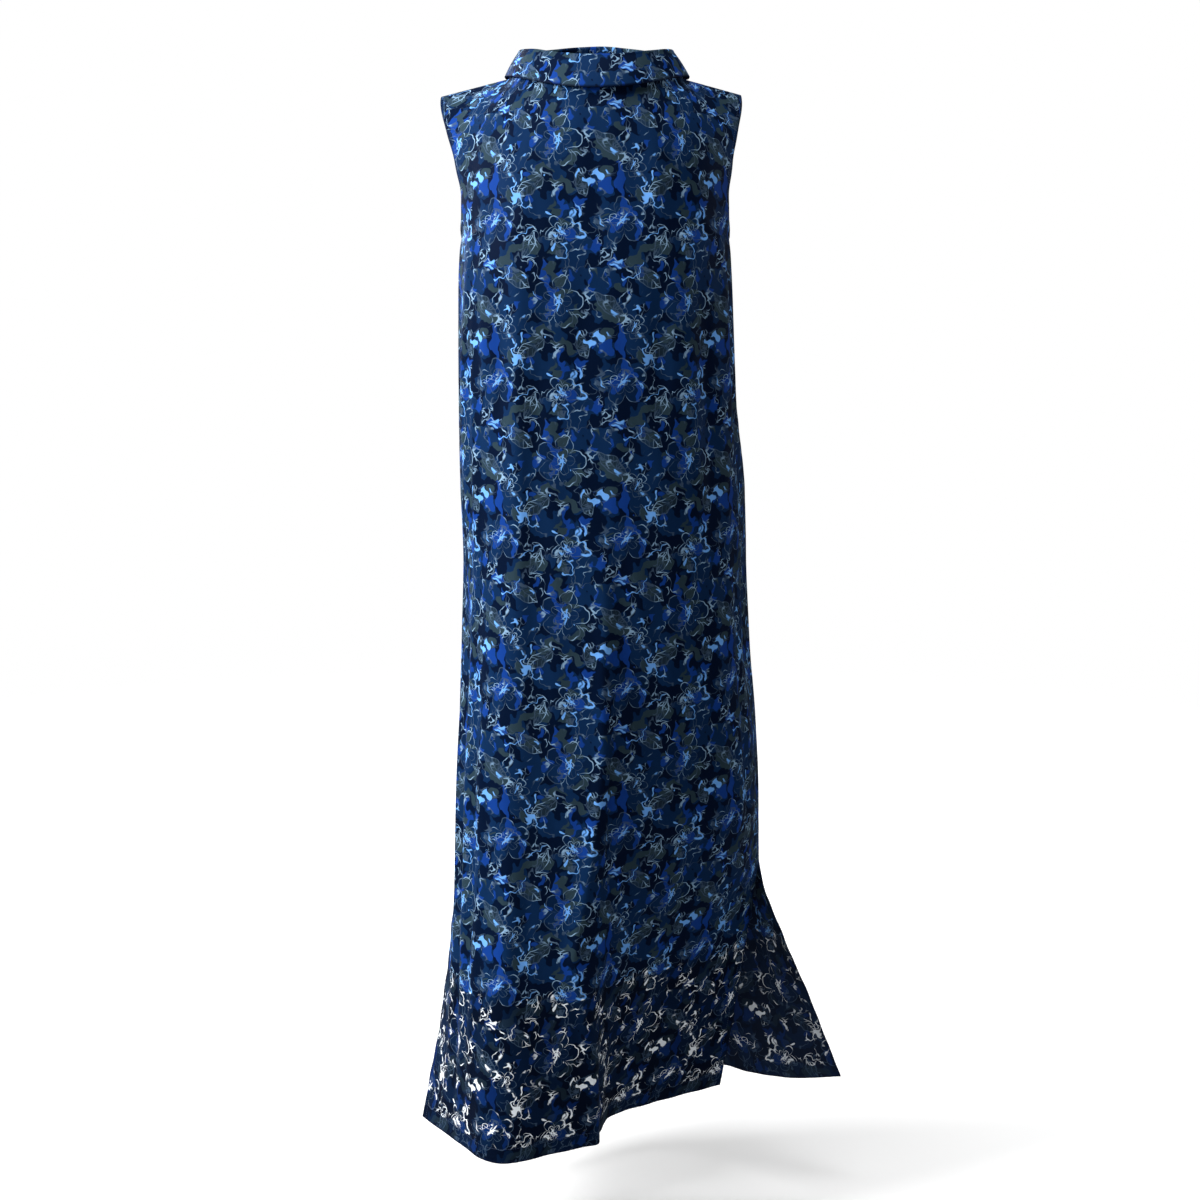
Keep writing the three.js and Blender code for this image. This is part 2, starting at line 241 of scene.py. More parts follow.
def round_corners(points: np.ndarray) -> np.ndarray:
    """Cuts the corners of a line of points until it is a smooth curve with the same ends.

    Args:
        points: The line's points.

    Returns:
        The points of the curve.
    """
    line = points
    for _ in range(CORNER_CUTS):
        run = line[1:] - line[:-1]
        cuts = [line[:-1] + run * share for share in (CUT_SHARE, 1 - CUT_SHARE)]
        cut = np.stack(cuts, axis=1)
        line = np.concatenate([line[:1], cut.reshape(-1, points.shape[1]), line[-1:]])
    return line


@dataclass(frozen=True)
class Crease:
    """A soft crease that runs down a panel and fades out at both ends.

    Attributes:
        line: Height and share of the panel's width at each knot, from the top down.
        depth: How far it stands out, or in where it is negative, in millimetres.
        width: Its half width, in millimetres.
    """

    line: tuple[tuple[float, float], ...]
    depth: float
    width: float

    @staticmethod
    def strength(down: np.ndarray) -> np.ndarray:
        """Strength of the crease at shares of its length, from the top down."""
        return np.sin(math.pi * np.clip(down, 0, 1))

    def push(self, height: np.ndarray, share: np.ndarray, panel_width: np.ndarray) -> np.ndarray:
        """How far the crease pushes each point of the cloth outwards.

        Args:
            height: Heights of the points.
            share: Their shares of the panel's width.
            panel_width: The panel's width at each of them.

        Returns:
            The push, in millimetres.
        """
        knots, places = np.array(self.line[::-1]).T
        strength = self.strength((knots[-1] - height) / (knots[-1] - knots[0]))
        aside = (share - np.interp(height, knots, places)) * panel_width
        return self.depth * strength * bell(aside, self.width)


@dataclass(frozen=True)
class OpenCrease(Crease):
    """A crease that runs out through the hem instead of fading there."""

    @staticmethod
    def strength(down: np.ndarray) -> np.ndarray:
        """Strength of the crease: it reaches its full depth short of half way down."""
        return smooth(down / FULL_DEPTH)


@dataclass(frozen=True)
class PanelPattern:
    """The cut and the hang of one panel, in millimetres."""

    sections: list[tuple[float, ...]]
    slit_left: list[tuple[float, ...]]
    slit_right: list[tuple[float, ...]]
    soft_folds: list[Crease]
    creases: list[Crease]
    leave: list[tuple[float, ...]]
    hem_rise: list[tuple[float, ...]]
    armhole_share: float
    shoulder_share: float
    neck_reach: float
    neck_rise: float


FRONT_PATTERN = PanelPattern(
    sections=[
        (-150, -163, -60, -114, -114, -60, -125, 0, -123, 40, -125, 101, -115, 160, -62),
        (-190, -164, -60, -113, -120, -60, -128, 0, -127, 40, -129, 100, -122, 161, -64),
        (-240, -166, -62, -112, -126, -60, -131, 0, -130, 40, -131, 102, -127, 164, -64),
        (-390, -168, -56, -112, -124, -57, -129, 3, -131, 38, -129, 104, -122, 170, -58),
        (-640, -163, -46, -116, -128, -52, -126, 8, -134, 34, -124, 108, -112, 180, -50),
        (-900, -178, -54, -124, -136, -50, -127, 12, -132, 24, -104, 102, -88, 190, -34),
        (-1105, -182, -72, -126, -154, -50, -134, 8, -125, 12, -85, 74, -51, 160, 8),
        (-1318, -176, -104, -126, -172, -50, -132, 9, -107, 6, -42, 45, -12, 110, 26),
    ],
    slit_left=[(-1000, -182, -4), (-1105, -193, -11), (-1200, -206, -19), (-1318, -229, -33)],
    slit_right=[(-1000, 215, 46), (-1105, 201, 49), (-1200, 188, 53), (-1318, 169, 59)],
    soft_folds=[
        Crease(((-205, 0.225), (-470, 0.235)), 3, 12),
        Crease(((-215, 0.275), (-480, 0.28)), -4, 11),
        Crease(((-225, 0.325), (-700, 0.31)), 3, 12),
        Crease(((-200, 0.66), (-470, 0.65)), -4, 13),
        Crease(((-200, 0.71), (-560, 0.74)), 4, 12),
        Crease(((-230, 0.76), (-480, 0.79)), -3, 11),
    ],
    creases=[
        OpenCrease(
            (
                (-520, 0.507), (-640, 0.506), (-807, 0.501), (-978, 0.465),
                (-1064, 0.452), (-1132, 0.484), (-1197, 0.508), (-1318, 0.543),
            ),
            4.4,
            9,
        ),
        OpenCrease(
            (
                (-600, 0.535), (-807, 0.532), (-978, 0.512),
                (-1064, 0.51), (-1132, 0.535), (-1318, 0.59),
            ),
            -3.9,
            12,
        ),
        Crease(((-560, 0.075), (-900, 0.085), (-1318, 0.09)), 3.6, 8),
        Crease(((-640, 0.115), (-900, 0.12), (-1318, 0.125)), -3.6, 7),
        Crease(((-600, 0.15), (-950, 0.15), (-1318, 0.155)), 3.7, 8),
        Crease(((-700, 0.185), (-1000, 0.18), (-1318, 0.175)), -3.1, 7),
        Crease(((-620, 0.22), (-1000, 0.215), (-1290, 0.2)), 2.5, 9),
        Crease(((-120, 0.18), (-330, 0.14), (-560, 0.12)), 3.0, 9),
        Crease(((-150, 0.11), (-300, 0.1), (-520, 0.08)), -3.0, 8),
        Crease(((-230, 0.19), (-420, 0.185), (-640, 0.17)), 3.3, 8),
        Crease(((-110, 0.83), (-300, 0.85), (-520, 0.86)), 3.3, 9),
        Crease(((-180, 0.87), (-380, 0.9), (-600, 0.92)), -3.6, 9),
        Crease(((-260, 0.815), (-450, 0.83), (-690, 0.84)), 3.0, 10),
        Crease(((-500, 0.79), (-760, 0.8), (-1000, 0.82)), 2.6, 11),
        Crease(((-560, 0.87), (-760, 0.885), (-980, 0.9)), -3.6, 10),
        Crease(((-640, 0.66), (-900, 0.665), (-1200, 0.7)), 2.6, 13),
        Crease(((-760, 0.73), (-980, 0.74), (-1290, 0.78)), -3.0, 11),
        Crease(((-330, 0.40), (-560, 0.405), (-820, 0.4)), 2.0, 13),
        Crease(((-420, 0.58), (-620, 0.59), (-860, 0.6)), 2.1, 12),
        Crease(((-60, 0.33), (-130, 0.30), (-230, 0.29)), 2.1, 11),
        Crease(((-60, 0.67), (-130, 0.69), (-230, 0.70)), 2.1, 11),
        Crease(((-820, 0.35), (-1060, 0.34), (-1310, 0.33)), -2.6, 15),
        Crease(((-900, 0.44), (-1100, 0.45), (-1310, 0.46)), 2.3, 12),
    ],
    leave=[
        (0, 5, 150, 80), (0.1, 25, 255, 65), (0.175, 60, 295, 10),
        (0.25, 60, 205, 65), (0.35, 25, 120, 115), (0.5, 0, 45, 130),
    ],
    hem_rise=[(0, 0), (1, 0)],
    armhole_share=0.1,
    shoulder_share=7 / 40,
    neck_reach=-104.0,
    neck_rise=-20.0,
)

BACK_PATTERN = PanelPattern(
    sections=[
        (-150, -163, 58, -118, 98, -60, 106, 0, 103, 60, 106, 118, 98, 161, 58),
        (-190, -164, 58, -118, 104, -60, 110, 0, 106, 60, 110, 118, 104, 163, 58),
        (-240, -166, 60, -116, 108, -60, 114, 0, 108, 60, 114, 120, 108, 165, 60),
        (-390, -170, 62, -114, 106, -58, 114, 0, 108, 62, 114, 124, 106, 178, 62),
        (-640, -180, 62, -120, 110, -58, 119, 0, 109, 66, 119, 134, 114, 204, 72),
        (-900, -184, 62, -130, 122, -60, 136, 0, 122, 66, 138, 144, 130, 218, 90),
        (-1105, -190, 66, -136, 130, -62, 150, 0, 130, 66, 150, 160, 136, 226, 94),
        (-1318, -208, 76, -140, 136, -62, 162, 0, 140, 66, 154, 190, 112, 245, 62),
    ],
    slit_left=[(-1000, -182, -4), (-1105, -190, 3), (-1200, -200, 8), (-1318, -219, 13)],
    slit_right=[
        (-1000, 215, 46), (-1030, 223, 45), (-1105, 251, 43), (-1200, 288, 38), (-1318, 329, 31),
    ],
    soft_folds=[
        Crease(((-215, 0.27), (-600, 0.25)), 4, 14),
        Crease(((-225, 0.72), (-660, 0.75)), 4, 14),
    ],
    creases=[
        Crease(((-110, 0.2), (-260, 0.17), (-520, 0.14)), 3.6, 10),
        Crease(((-110, 0.8), (-280, 0.83), (-540, 0.86)), 3.6, 10),
        Crease(((-160, 0.12), (-330, 0.1), (-560, 0.08)), -3.6, 9),
        Crease(((-160, 0.88), (-330, 0.9), (-560, 0.92)), -3.6, 9),
        OpenCrease(((-460, 0.5), (-900, 0.5), (-1318, 0.5)), -4.0, 15),
        OpenCrease(((-560, 0.37), (-900, 0.37), (-1318, 0.365)), 4.3, 13),
        OpenCrease(((-600, 0.63), (-900, 0.63), (-1318, 0.64)), 4.3, 14),
        OpenCrease(((-700, 0.24), (-1000, 0.235), (-1318, 0.23)), -3.6, 12),
        OpenCrease(((-700, 0.77), (-1000, 0.775), (-1318, 0.79)), -3.6, 13),
        Crease(((-420, 0.31), (-700, 0.3), (-1000, 0.29)), 2.9, 11),
        Crease(((-400, 0.7), (-700, 0.705), (-1000, 0.71)), 2.9, 12),
        Crease(((-620, 0.1), (-900, 0.11), (-1290, 0.12)), 3.2, 9),
        Crease(((-640, 0.15), (-950, 0.16), (-1310, 0.17)), -2.9, 9),
        Crease(((-640, 0.9), (-950, 0.88), (-1310, 0.87)), 3.2, 10),
        Crease(((-900, 0.93), (-1120, 0.925), (-1310, 0.93)), -3.2, 11),
        Crease(((-300, 0.44), (-560, 0.43), (-820, 0.44)), 2.5, 13),
        Crease(((-320, 0.57), (-560, 0.57), (-860, 0.56)), 2.3, 13),
        Crease(((-50, 0.34), (-120, 0.32), (-240, 0.31)), 2.3, 11),
        Crease(((-50, 0.66), (-120, 0.68), (-240, 0.69)), 2.3, 11),
    ],
    leave=[
        (0, 5, 130, 90), (0.1, 20, 225, 75), (0.19, 60, 255, 20),
        (0.26, 55, 190, 85), (0.36, 20, 130, 135), (0.5, 0, 75, 150),
    ],
    hem_rise=[(0, 4), (0.6, 4), (0.78, 5), (0.9, 13), (1, 26)],
    armhole_share=0.105,
    shoulder_share=7 / 36,
    neck_reach=66.0,
    neck_rise=12.0,
)


@dataclass
class MeshParts:
    """Points, faces and flat cloth coordinates of a piece on their way to a mesh."""

    points: np.ndarray
    faces: np.ndarray
    flat: np.ndarray
    rim: np.ndarray
    wrong_side: np.ndarray

    def make(self, name: str) -> bpy.types.Object:
        """Makes the mesh object.

        Args:
            name: The piece's name.

        Returns:
            The object, at the origin, with its UV map and its rim attribute, the mask of painted
            edge shade.
        """
        mesh = bpy.data.meshes.new(name)
        mesh.vertices.add(len(self.points))
        mesh.vertices.foreach_set("co", (self.points * MM).astype(np.float32).ravel())
        mesh.loops.add(self.faces.size)
        mesh.loops.foreach_set("vertex_index", self.faces.astype(np.int32).ravel())
        mesh.polygons.add(len(self.faces))
        mesh.polygons.foreach_set("loop_start", np.arange(0, self.faces.size, 4, dtype=np.int32))
        mesh.polygons.foreach_set("use_smooth", np.ones(len(self.faces), bool))
        mesh.polygons.foreach_set("material_index", self.wrong_side.astype(np.int32))
        mesh.update(calc_edges=True)
        flat = mesh.uv_layers.new(name="cloth")
        flat.data.foreach_set("uv", (self.flat * MM).astype(np.float32).ravel())
        rim = mesh.attributes.new("rim", "FLOAT", "POINT")
        rim.data.foreach_set("value", self.rim.astype(np.float32))
        mesh.validate()
        made = bpy.data.objects.new(name, mesh)
        bpy.context.scene.collection.objects.link(made)
        return made


@dataclass(frozen=True)
class Ripple:
    """Two waves laid over each other, as sewing leaves them in cloth, in millimetres.

    Attributes:
        height: Height of the first wave.
        lengths: How far each wave runs in one radian.
        second: The second wave's share of that height.
        reach: How far into the cloth it is felt.
    """

    height: float
    lengths: tuple[float, float]
    second: float
    reach: float

    def at(self, place: np.ndarray, phases: np.ndarray) -> np.ndarray:
        """Height of the ripple at places along it."""
        first, second = (np.sin(place / long + turn) for long, turn in zip(self.lengths, phases))
        return self.height * (first + self.second * second)


@dataclass(frozen=True)
class Groove:
    """A groove that a row of stitches pulls into cloth, in millimetres."""

    depth: float
    half_width: float

    def at(self, distance: np.ndarray) -> np.ndarray:
        """How far the cloth is drawn in at a distance from the stitches."""
        return -self.depth * bell(distance, self.half_width)


SEAM_PUCKER = Ripple(0.32, (4.6, 7.9), 0.7, 13.0)
EDGE_PUCKER = Ripple(0.4, (6.3, 15.0), 1.0, 16.0)
HEM_PUCKER = Ripple(0.4, (7.2, 13.0), 0.8, 20.5)
SEAM_GROOVE = Groove(0.55, 2.6)
SHOULDER_GROOVE = Groove(0.5, 2.8)
HEM_GROOVE = Groove(0.25, 1.8)


@dataclass
class ClothPanel:
    """The front or the back of the dress, from the hem to the shoulder seams and the neckline."""

    panel: Panel
    pattern: PanelPattern
    seed: int
    columns: int = 132
    skirt_rows: int = 232
    armhole_rows: int = 9
    chest_rows: int = 36
    settle_passes: int = 110
    ease_passes: int = 40
    ease_rows: float = 12.0
    normal_passes: int = 7
    small_creases: int = 26
    waves: int = 10
    wave_height: float = 0.13
    print_shift: float = 0.0
    cloth: float = 0.7
    turned: float = 1.5
    edge_bulge: float = 0.35
    hem_turn: float = 20.0
    slit_turn: float = 11.0
    armhole_turn: float = 7.0
    shares: np.ndarray = field(init=False)
    heights: np.ndarray = field(init=False)
    points: np.ndarray = field(init=False)
    normals: np.ndarray = field(init=False)
    flat: np.ndarray = field(init=False)

    def __post_init__(self) -> None:
        """Builds the outer side of the panel."""
        fine, corner = np.array(FINE_COLUMNS), self.pattern.shoulder_share
        kept = np.concatenate([[0, 1], fine, 1 - fine, [corner, 1 - corner]])
        even = np.linspace(0, 1, self.columns + 1)
        clear = np.abs(even[:, None] - kept).min(axis=1) > CLEAR_COLUMN / self.columns
        self.shares = np.sort(np.concatenate([kept, even[clear]]))
        even = np.linspace(HEM_Z, UNDERARM_Z, self.skirt_rows + 1)
        self.heights = np.unique(np.concatenate([even, HEM_Z + np.array(FINE_ROWS), [SLIT_Z]]))
        rows, widths = self.hang()
        self.points = self.settle(rows)
        self.flat = self.flatten(widths)
        self.dress_in_creases(widths)

    @property
    def underarm_row(self) -> int:
        """The row at the underarm."""
        return len(self.heights) - 1

    @property
    def chest_row(self) -> int:
        """The row where the armhole's lower turn ends and the chest begins."""
        return self.underarm_row + self.armhole_rows

    @property
    def seam_rows(self) -> np.ndarray:
        """Which rows have a side seam at both ends, as a column."""
        row = np.arange(len(self.points))[:, None]
        return (row >= np.searchsorted(self.heights, SLIT_Z)) & (row <= self.underarm_row)

    @property
    def below_underarm(self) -> np.ndarray:
        """Which rows end below the underarm, as the panel hangs so far."""
        return self.points[:, 0, 2] < UNDERARM_Z + 1

    @property
    def on_shoulder(self) -> np.ndarray:
        """Which columns end in a shoulder seam."""
        corner = self.pattern.shoulder_share
        return (self.shares <= corner) | (self.shares >= 1 - corner)

    def section(
        self, height: float, trim: float = 0.0, rise: np.ndarray | float = 0.0
    ) -> tuple[np.ndarray, float]:
        """Row of points in a level section of the panel, from the wearer's right to the left.

        Args:
            height: Its height.
            trim: Share of the width that the armholes take from each end.
            rise: How far each point stands above that height.

        Returns:
            The points, and the width of the cloth between them.
        """
        left = SIDE_SEAM["left"] if height > SLIT_Z else self.pattern.slit_left
        right = SIDE_SEAM["right"] if height > SLIT_Z else self.pattern.slit_right
        key = np.array(height)
        guide = read_table(self.pattern.sections, key).reshape(-1, 2)
        corners = np.concatenate([[read_table(left, key)], guide, [read_table(right, key)]])
        even = np.linspace(0, 1, SECTION_POINTS)
        curve, length = spread(round_corners(corners), even)
        run = unit(np.gradient(curve, axis=0))
        push = sum(fold.push(key, even, length) for fold in self.pattern.soft_folds)
        push = push * -self.panel.outwards
        folded = curve + np.stack([run[:, 1], -run[:, 0]], axis=1) * push[:, None]
        level = spread(folded, trim + (1 - 2 * trim) * self.shares)[0]
        return np.column_stack([level, np.full(len(level), height) + rise]), length * (1 - 2 * trim)

    def top_edge(self) -> np.ndarray:
        """Shoulder seam, neckline and shoulder seam."""
        corner = self.pattern.shoulder_share
        angle = math.pi * np.clip((self.shares - corner) / (1 - 2 * corner), 0, 1)
        turn = np.sin(angle)
        across = -NECK_HALF_WIDTH * np.cos(angle)
        deep = NECK_Y + self.pattern.neck_reach * turn
        edge = np.stack([across, deep, self.pattern.neck_rise * turn * turn], axis=1)
        for side, share in (("left", self.shares), ("right", 1 - self.shares)):
            inner = np.clip(share / corner, 0, 1)[:, None]
            edge = SHOULDER_TIP[side] * (1 - inner) + edge * inner
        return edge

    def hang(self) -> tuple[np.ndarray, np.ndarray]:
        """Rows of points from the hem up to the shoulders, before the cloth settles.

        Returns:
            The points, and the panel's width at each row.
        """
        (rise,) = read_table(self.pattern.hem_rise, self.shares).T
        swing = 2 * smooth((SLIT_Z - self.heights) / (SLIT_Z - HEM_Z) / 2)
        levels = zip(self.heights, swing)
        built = [self.section(height, 0.0, rise * part) for height, part in levels]
        for turn in math.pi / 2 * np.arange(1, self.armhole_rows + 1) / self.armhole_rows:
            height = UNDERARM_Z + (ARMHOLE_TURN_Z - UNDERARM_Z) * (1 - math.cos(turn))
            built.append(self.section(height, self.pattern.armhole_share * math.sin(turn)))
        base, width = built[-1]
        fall, _ = self.section(ARMHOLE_TURN_Z - CHEST_STEP, self.pattern.armhole_share)
        arrive = (fall - base) / CHEST_STEP * CHEST_ARRIVE
        near = np.minimum(self.shares, 1 - self.shares)
        aside, forwards, drop = read_table(self.pattern.leave, near).T
        aside = np.where(self.shares < 0.5, -aside, aside)
        leave = np.column_stack([aside, self.panel.outwards * forwards, -drop])
        top = self.top_edge()
        for step in range(1, self.chest_rows + 1):
            built.append((hermite(top, base, leave, arrive, 1 - step / self.chest_rows), width))
        rows, widths = zip(*built)
        return np.array(rows), np.array(widths)

    def settle(self, rows: np.ndarray) -> np.ndarray:
        """Lets the cloth of the chest settle between its edges, and eases the underarm's line.

        Args:
            rows: The points as hung.

        Returns:
            The settled points.
        """
        base = self.chest_row
        gap = np.diff(self.shares)
        before = (gap[1:] / (gap[:-1] + gap[1:]))[None, :, None]
        pull = (1 / (self.columns**2 * gap[:-1] * gap[1:]))[None, :, None]
        settled = rows.copy()

        def eased(points: np.ndarray) -> np.ndarray:
            """Mean of every inner point's four neighbours, where nearer columns pull harder."""
            across = points[1:-1, :-2] * before + points[1:-1, 2:] * (1 - before)
            return (across * pull + (points[:-2, 1:-1] + points[2:, 1:-1]) / 2) / (1 + pull)

        for _ in range(self.settle_passes):
            settled[base + 1 : -1, 1:-1] = eased(settled[base:])
        weight = bell(np.arange(len(rows)) - base, self.ease_rows)[1:-1, None, None]
        side = smooth(np.minimum(self.shares, 1 - self.shares) / EASE_SHARE)[None, 1:-1, None]
        out = np.cross(np.gradient(settled, axis=1), np.gradient(settled, axis=0))
        out = unit(out[1:-1, 1:-1])
        for _ in range(self.ease_passes):
            move = ((eased(settled) - settled[1:-1, 1:-1]) * out).sum(2)[..., None]
            settled[1:-1, 1:-1] += move * out * weight * side
        return settled

    @staticmethod
    def parted(height: np.ndarray) -> np.ndarray:
        """How far the panels' edges have parted at a height, from 0 at a seam's end to 1."""
        below = (SLIT_Z - SEAM_END - height) / PARTING_SLIT
        return np.maximum(smooth(below), smooth((height - UNDERARM_Z) / PARTING_ARMHOLE))

    def outward(self) -> np.ndarray:
        """Directions out of the cloth; at a seam they lie in the plane between the panels."""
        along, up = np.gradient(self.points, axis=1), np.gradient(self.points, axis=0)
        out = unit(np.cross(along, up) * -self.panel.outwards)
        share = np.ones(out.shape[:2])
        lower = self.below_underarm
        for end in (0, -1):
            share[lower, end] = self.parted(self.points[lower, end, 2])
        share[-1, self.on_shoulder] = 0
        out[..., 1] *= share
        return unit(out)

    def flatten(self, widths: np.ndarray) -> np.ndarray:
        """Flat coordinates of the cloth: across from the middle, and up from the hem.

        Args:
            widths: The panel's width at each row.

        Returns:
            Two coordinates for each point, in millimetres.
        """
        after = self.chest_row + 1
        middle = int(np.argmin(abs(self.shares - 0.5)))
        rise = np.linalg.norm(np.diff(self.points[:after, middle], axis=0), axis=1)
        flat = np.zeros(self.points.shape[:2] + (2,))
        flat[:after, :, 0] = widths[:after, None] * (self.shares - 0.5)
        flat[:after, :, 1] = running(rise)[:, None]
        for row in range(after, len(self.points)):
            step = self.points[row] - self.points[row - 1]
            ahead = (step * unit(np.gradient(self.points[row - 1], axis=0))).sum(1)
            length = np.linalg.norm(step, axis=1)
            upward = np.sqrt(np.maximum(length**2 - ahead**2, 0))
            across = unit(np.gradient(flat[row - 1], axis=0))
            turned = np.stack([-across[:, 1], across[:, 0]], axis=1)
            flat[row] = flat[row - 1] + across * ahead[:, None] + turned * upward[:, None]
        return flat

    def edge_distance(self) -> tuple[np.ndarray, np.ndarray, np.ndarray]:
        """Distances from each point to the panel's edges.

        Returns:
            The distance along the cloth to the left edge, to the right edge and to the top edge.
        """
        left = running(np.linalg.norm(np.diff(self.points, axis=1), axis=2), axis=1)
        up = running(np.linalg.norm(np.diff(self.points, axis=0), axis=2))
        return left, left[:, -1:] - left, up[-1:] - up

    @staticmethod
    def small_crease(draw: np.random.Generator) -> Crease:
        """Draws a small crease somewhere on the panel."""
        start, reach = draw.uniform(*CREASE_START), draw.uniform(*CREASE_LENGTH)
        place, lean = draw.uniform(*CREASE_PLACE), draw.uniform(*CREASE_LEAN)
        depth = draw.uniform(*CREASE_DEPTH) * draw.choice([-1, 1])
        line = ((start, place), (start - reach, place + lean))
        return Crease(line, depth, draw.uniform(*CREASE_WIDTH))

    def dress_in_creases(self, widths: np.ndarray) -> None:
        """Moves the cloth into its creases, waves, puckers and seam grooves.

        Args:
            widths: The panel's width at each row.
        """
        out = self.outward()
        height, (across, up) = self.points[..., 2], np.moveaxis(self.flat, -1, 0)
        left, right, top = self.edge_distance()
        near = np.minimum(left, right)
        draw = np.random.default_rng(self.seed)
        small = [self.small_crease(draw) for _ in range(self.small_creases)]
        creases = self.pattern.creases + small
        push = sum(crease.push(height, self.shares, widths[:, None]) for crease in creases)
        for _ in range(self.waves):
            wide, tall = draw.uniform(*WAVE_TURNS, 2) * WAVE_STRETCH
            phase = draw.uniform(0, 2 * math.pi, 2)
            wave = np.sin(across * wide + phase[0] + 0.8 * np.sin(height * tall))
            push = push + self.wave_height * wave * np.sin(height * tall * 2 + phase[1])

        phase = draw.uniform(0, 2 * math.pi, 6)
        seam = self.seam_rows
        along_seam = SEAM_PUCKER.at(height, phase[:2]) * np.exp(-near / SEAM_PUCKER.reach)
        along_seam = along_seam * (1 - np.exp(-near / PUCKER_START))
        along_edge = EDGE_PUCKER.at(height, phase[2:4]) * np.exp(-near / EDGE_PUCKER.reach)
        push = push + np.where(seam, along_seam, along_edge * self.parted(height))
        along_hem = HEM_PUCKER.at(across, phase[4:])
        push = push + along_hem * bell(up - HEM_PUCKER_AT, HEM_PUCKER.reach)
        free = smooth((SLIT_Z - height) / FREE_STEP) + smooth((height - UNDERARM_Z) / FREE_STEP)
        free = np.where(seam, 0, free)
        push = push * smooth(top / TOP_CALM) * (free + (1 - free) * smooth(near / SIDE_CALM))
        push = push + SEAM_GROOVE.at(near) * seam + SHOULDER_GROOVE.at(top) * self.on_shoulder
        push = push + HEM_GROOVE.at(up - self.hem_turn + STITCH_INSET)
        self.points = self.points + out * push[..., None]

        normals = self.outward()
        for _ in range(self.normal_passes):
            beside = normals[:-2, 1:-1] + normals[2:, 1:-1] + normals[1:-1, :-2] + normals[1:-1, 2:]
            normals[1:-1, 1:-1] += beside / 4
            normals = unit(normals)
        self.normals = normals
        step = self.panel.outwards * SEAM_GAP / 2
        lower = self.below_underarm
        for end in (0, -1):
            self.points[lower, end, 1] += step
        self.points[-1, self.on_shoulder, 1] += step

    def wall(self) -> np.ndarray:
        """Thickness of the cloth at each point, doubled where an edge is turned in."""
        left, right, _ = self.edge_distance()
        near, height = np.minimum(left, right), self.points[..., 2]

        def within(turn: float, distance: np.ndarray) -> np.ndarray:
            """Share of the turned edge at a distance from it."""
            return smooth((turn - distance) / TURN_STEP + 0.5)

        hem = within(self.hem_turn, self.flat[..., 1])
        slit = within(self.slit_turn, near) * (height <= SLIT_Z + SLIT_TURN_ABOVE)
        armhole = within(self.armhole_turn, near) * (height >= UNDERARM_Z)
        return self.cloth + (self.turned - self.cloth) * np.maximum(hem, np.maximum(slit, armhole))

    def build(self) -> bpy.types.Object:
        """Builds the panel: outer side, inner side and the rounded edge between them.

        Returns:
            The panel's object.
        """
        rows, columns = self.points.shape[:2]
        wall = self.wall()[..., None]
        grid = np.arange(rows * columns).reshape(rows, columns)
        loop = np.concatenate([grid[0, :-1], grid[:-1, -1], grid[-1, :0:-1], grid[:0:-1, 0]])
        up = unit(np.gradient(self.points, axis=0))
        along = unit(np.gradient(self.points, axis=1))
        away = np.zeros((rows, columns, 3))
        away[0] -= up[0]
        away[-1] += up[-1]
        away[:, 0] -= along[:, 0]
        away[:, -1] += along[:, -1]
        bulge = self.edge_bulge * self.parted(self.points[..., 2])[..., None] * wall
        bulge[0] = self.edge_bulge * wall[0]
        bulge[-1] = 0
        inner = self.points - self.normals * wall
        middle = (self.points - self.normals * wall / 2 + away * bulge).reshape(-1, 3)[loop]

        cells = [grid[:-1, :-1], grid[:-1, 1:], grid[1:, 1:], grid[1:, :-1]]
        quads = np.stack(cells, axis=-1).reshape(-1, 4)
        inside = quads[:, ::-1] + rows * columns
        ring = 2 * rows * columns + np.arange(len(loop))
        after, ring_after = np.roll(loop, -1), np.roll(ring, -1)
        edge_out = np.stack([after, loop, ring, ring_after], axis=1)
        inner_edge = [ring_after, ring, loop + rows * columns, after + rows * columns]
        faces = np.concatenate([quads, inside, edge_out, np.stack(inner_edge, axis=1)])
        if self.panel is Panel.BACK:
            faces = faces[:, ::-1]
        flat = self.flat.reshape(-1, 2) * [-self.panel.outwards, 1] + [self.print_shift, 0]
        # Painted shade: the rim mask darkens the slit and armhole edges, the hem and the rounded
        # edge band, where the turned cloth rolls into shade.
        left, right, _ = self.edge_distance()
        rim = bell(np.minimum(left, right), SIDE_EDGE_SHADE) * ~self.seam_rows
        rim = np.maximum(rim, bell(self.flat[..., 1], HEM_EDGE_SHADE)).ravel()
        wrong = np.zeros(len(faces), bool)
        wrong[len(quads) : 2 * len(quads)] = True
        parts = MeshParts(
            np.concatenate([self.points.reshape(-1, 3), inner.reshape(-1, 3), middle]),
            faces,
            np.concatenate([flat, flat, flat[loop]])[faces],
            np.concatenate([rim, rim, np.ones(len(loop))]),
            wrong,
        )
        return parts.make(f"{self.panel.value}_panel_cloth")

    def at(self, row: float, column: float) -> np.ndarray:
        """A point on the outer side between the grid's points, lifted by half a thread."""
        i, j = int(min(row, len(self.points) - 2)), int(min(column, len(self.shares) - 2))
        a, b = row - i, column - j
        cell = slice(i, i + 2), slice(j, j + 2)
        lifted = self.points[cell] + self.normals[cell] * STITCH_LIFT
        near = lifted[0] * (1 - a) + lifted[1] * a
        return near[0] * (1 - b) + near[1] * b

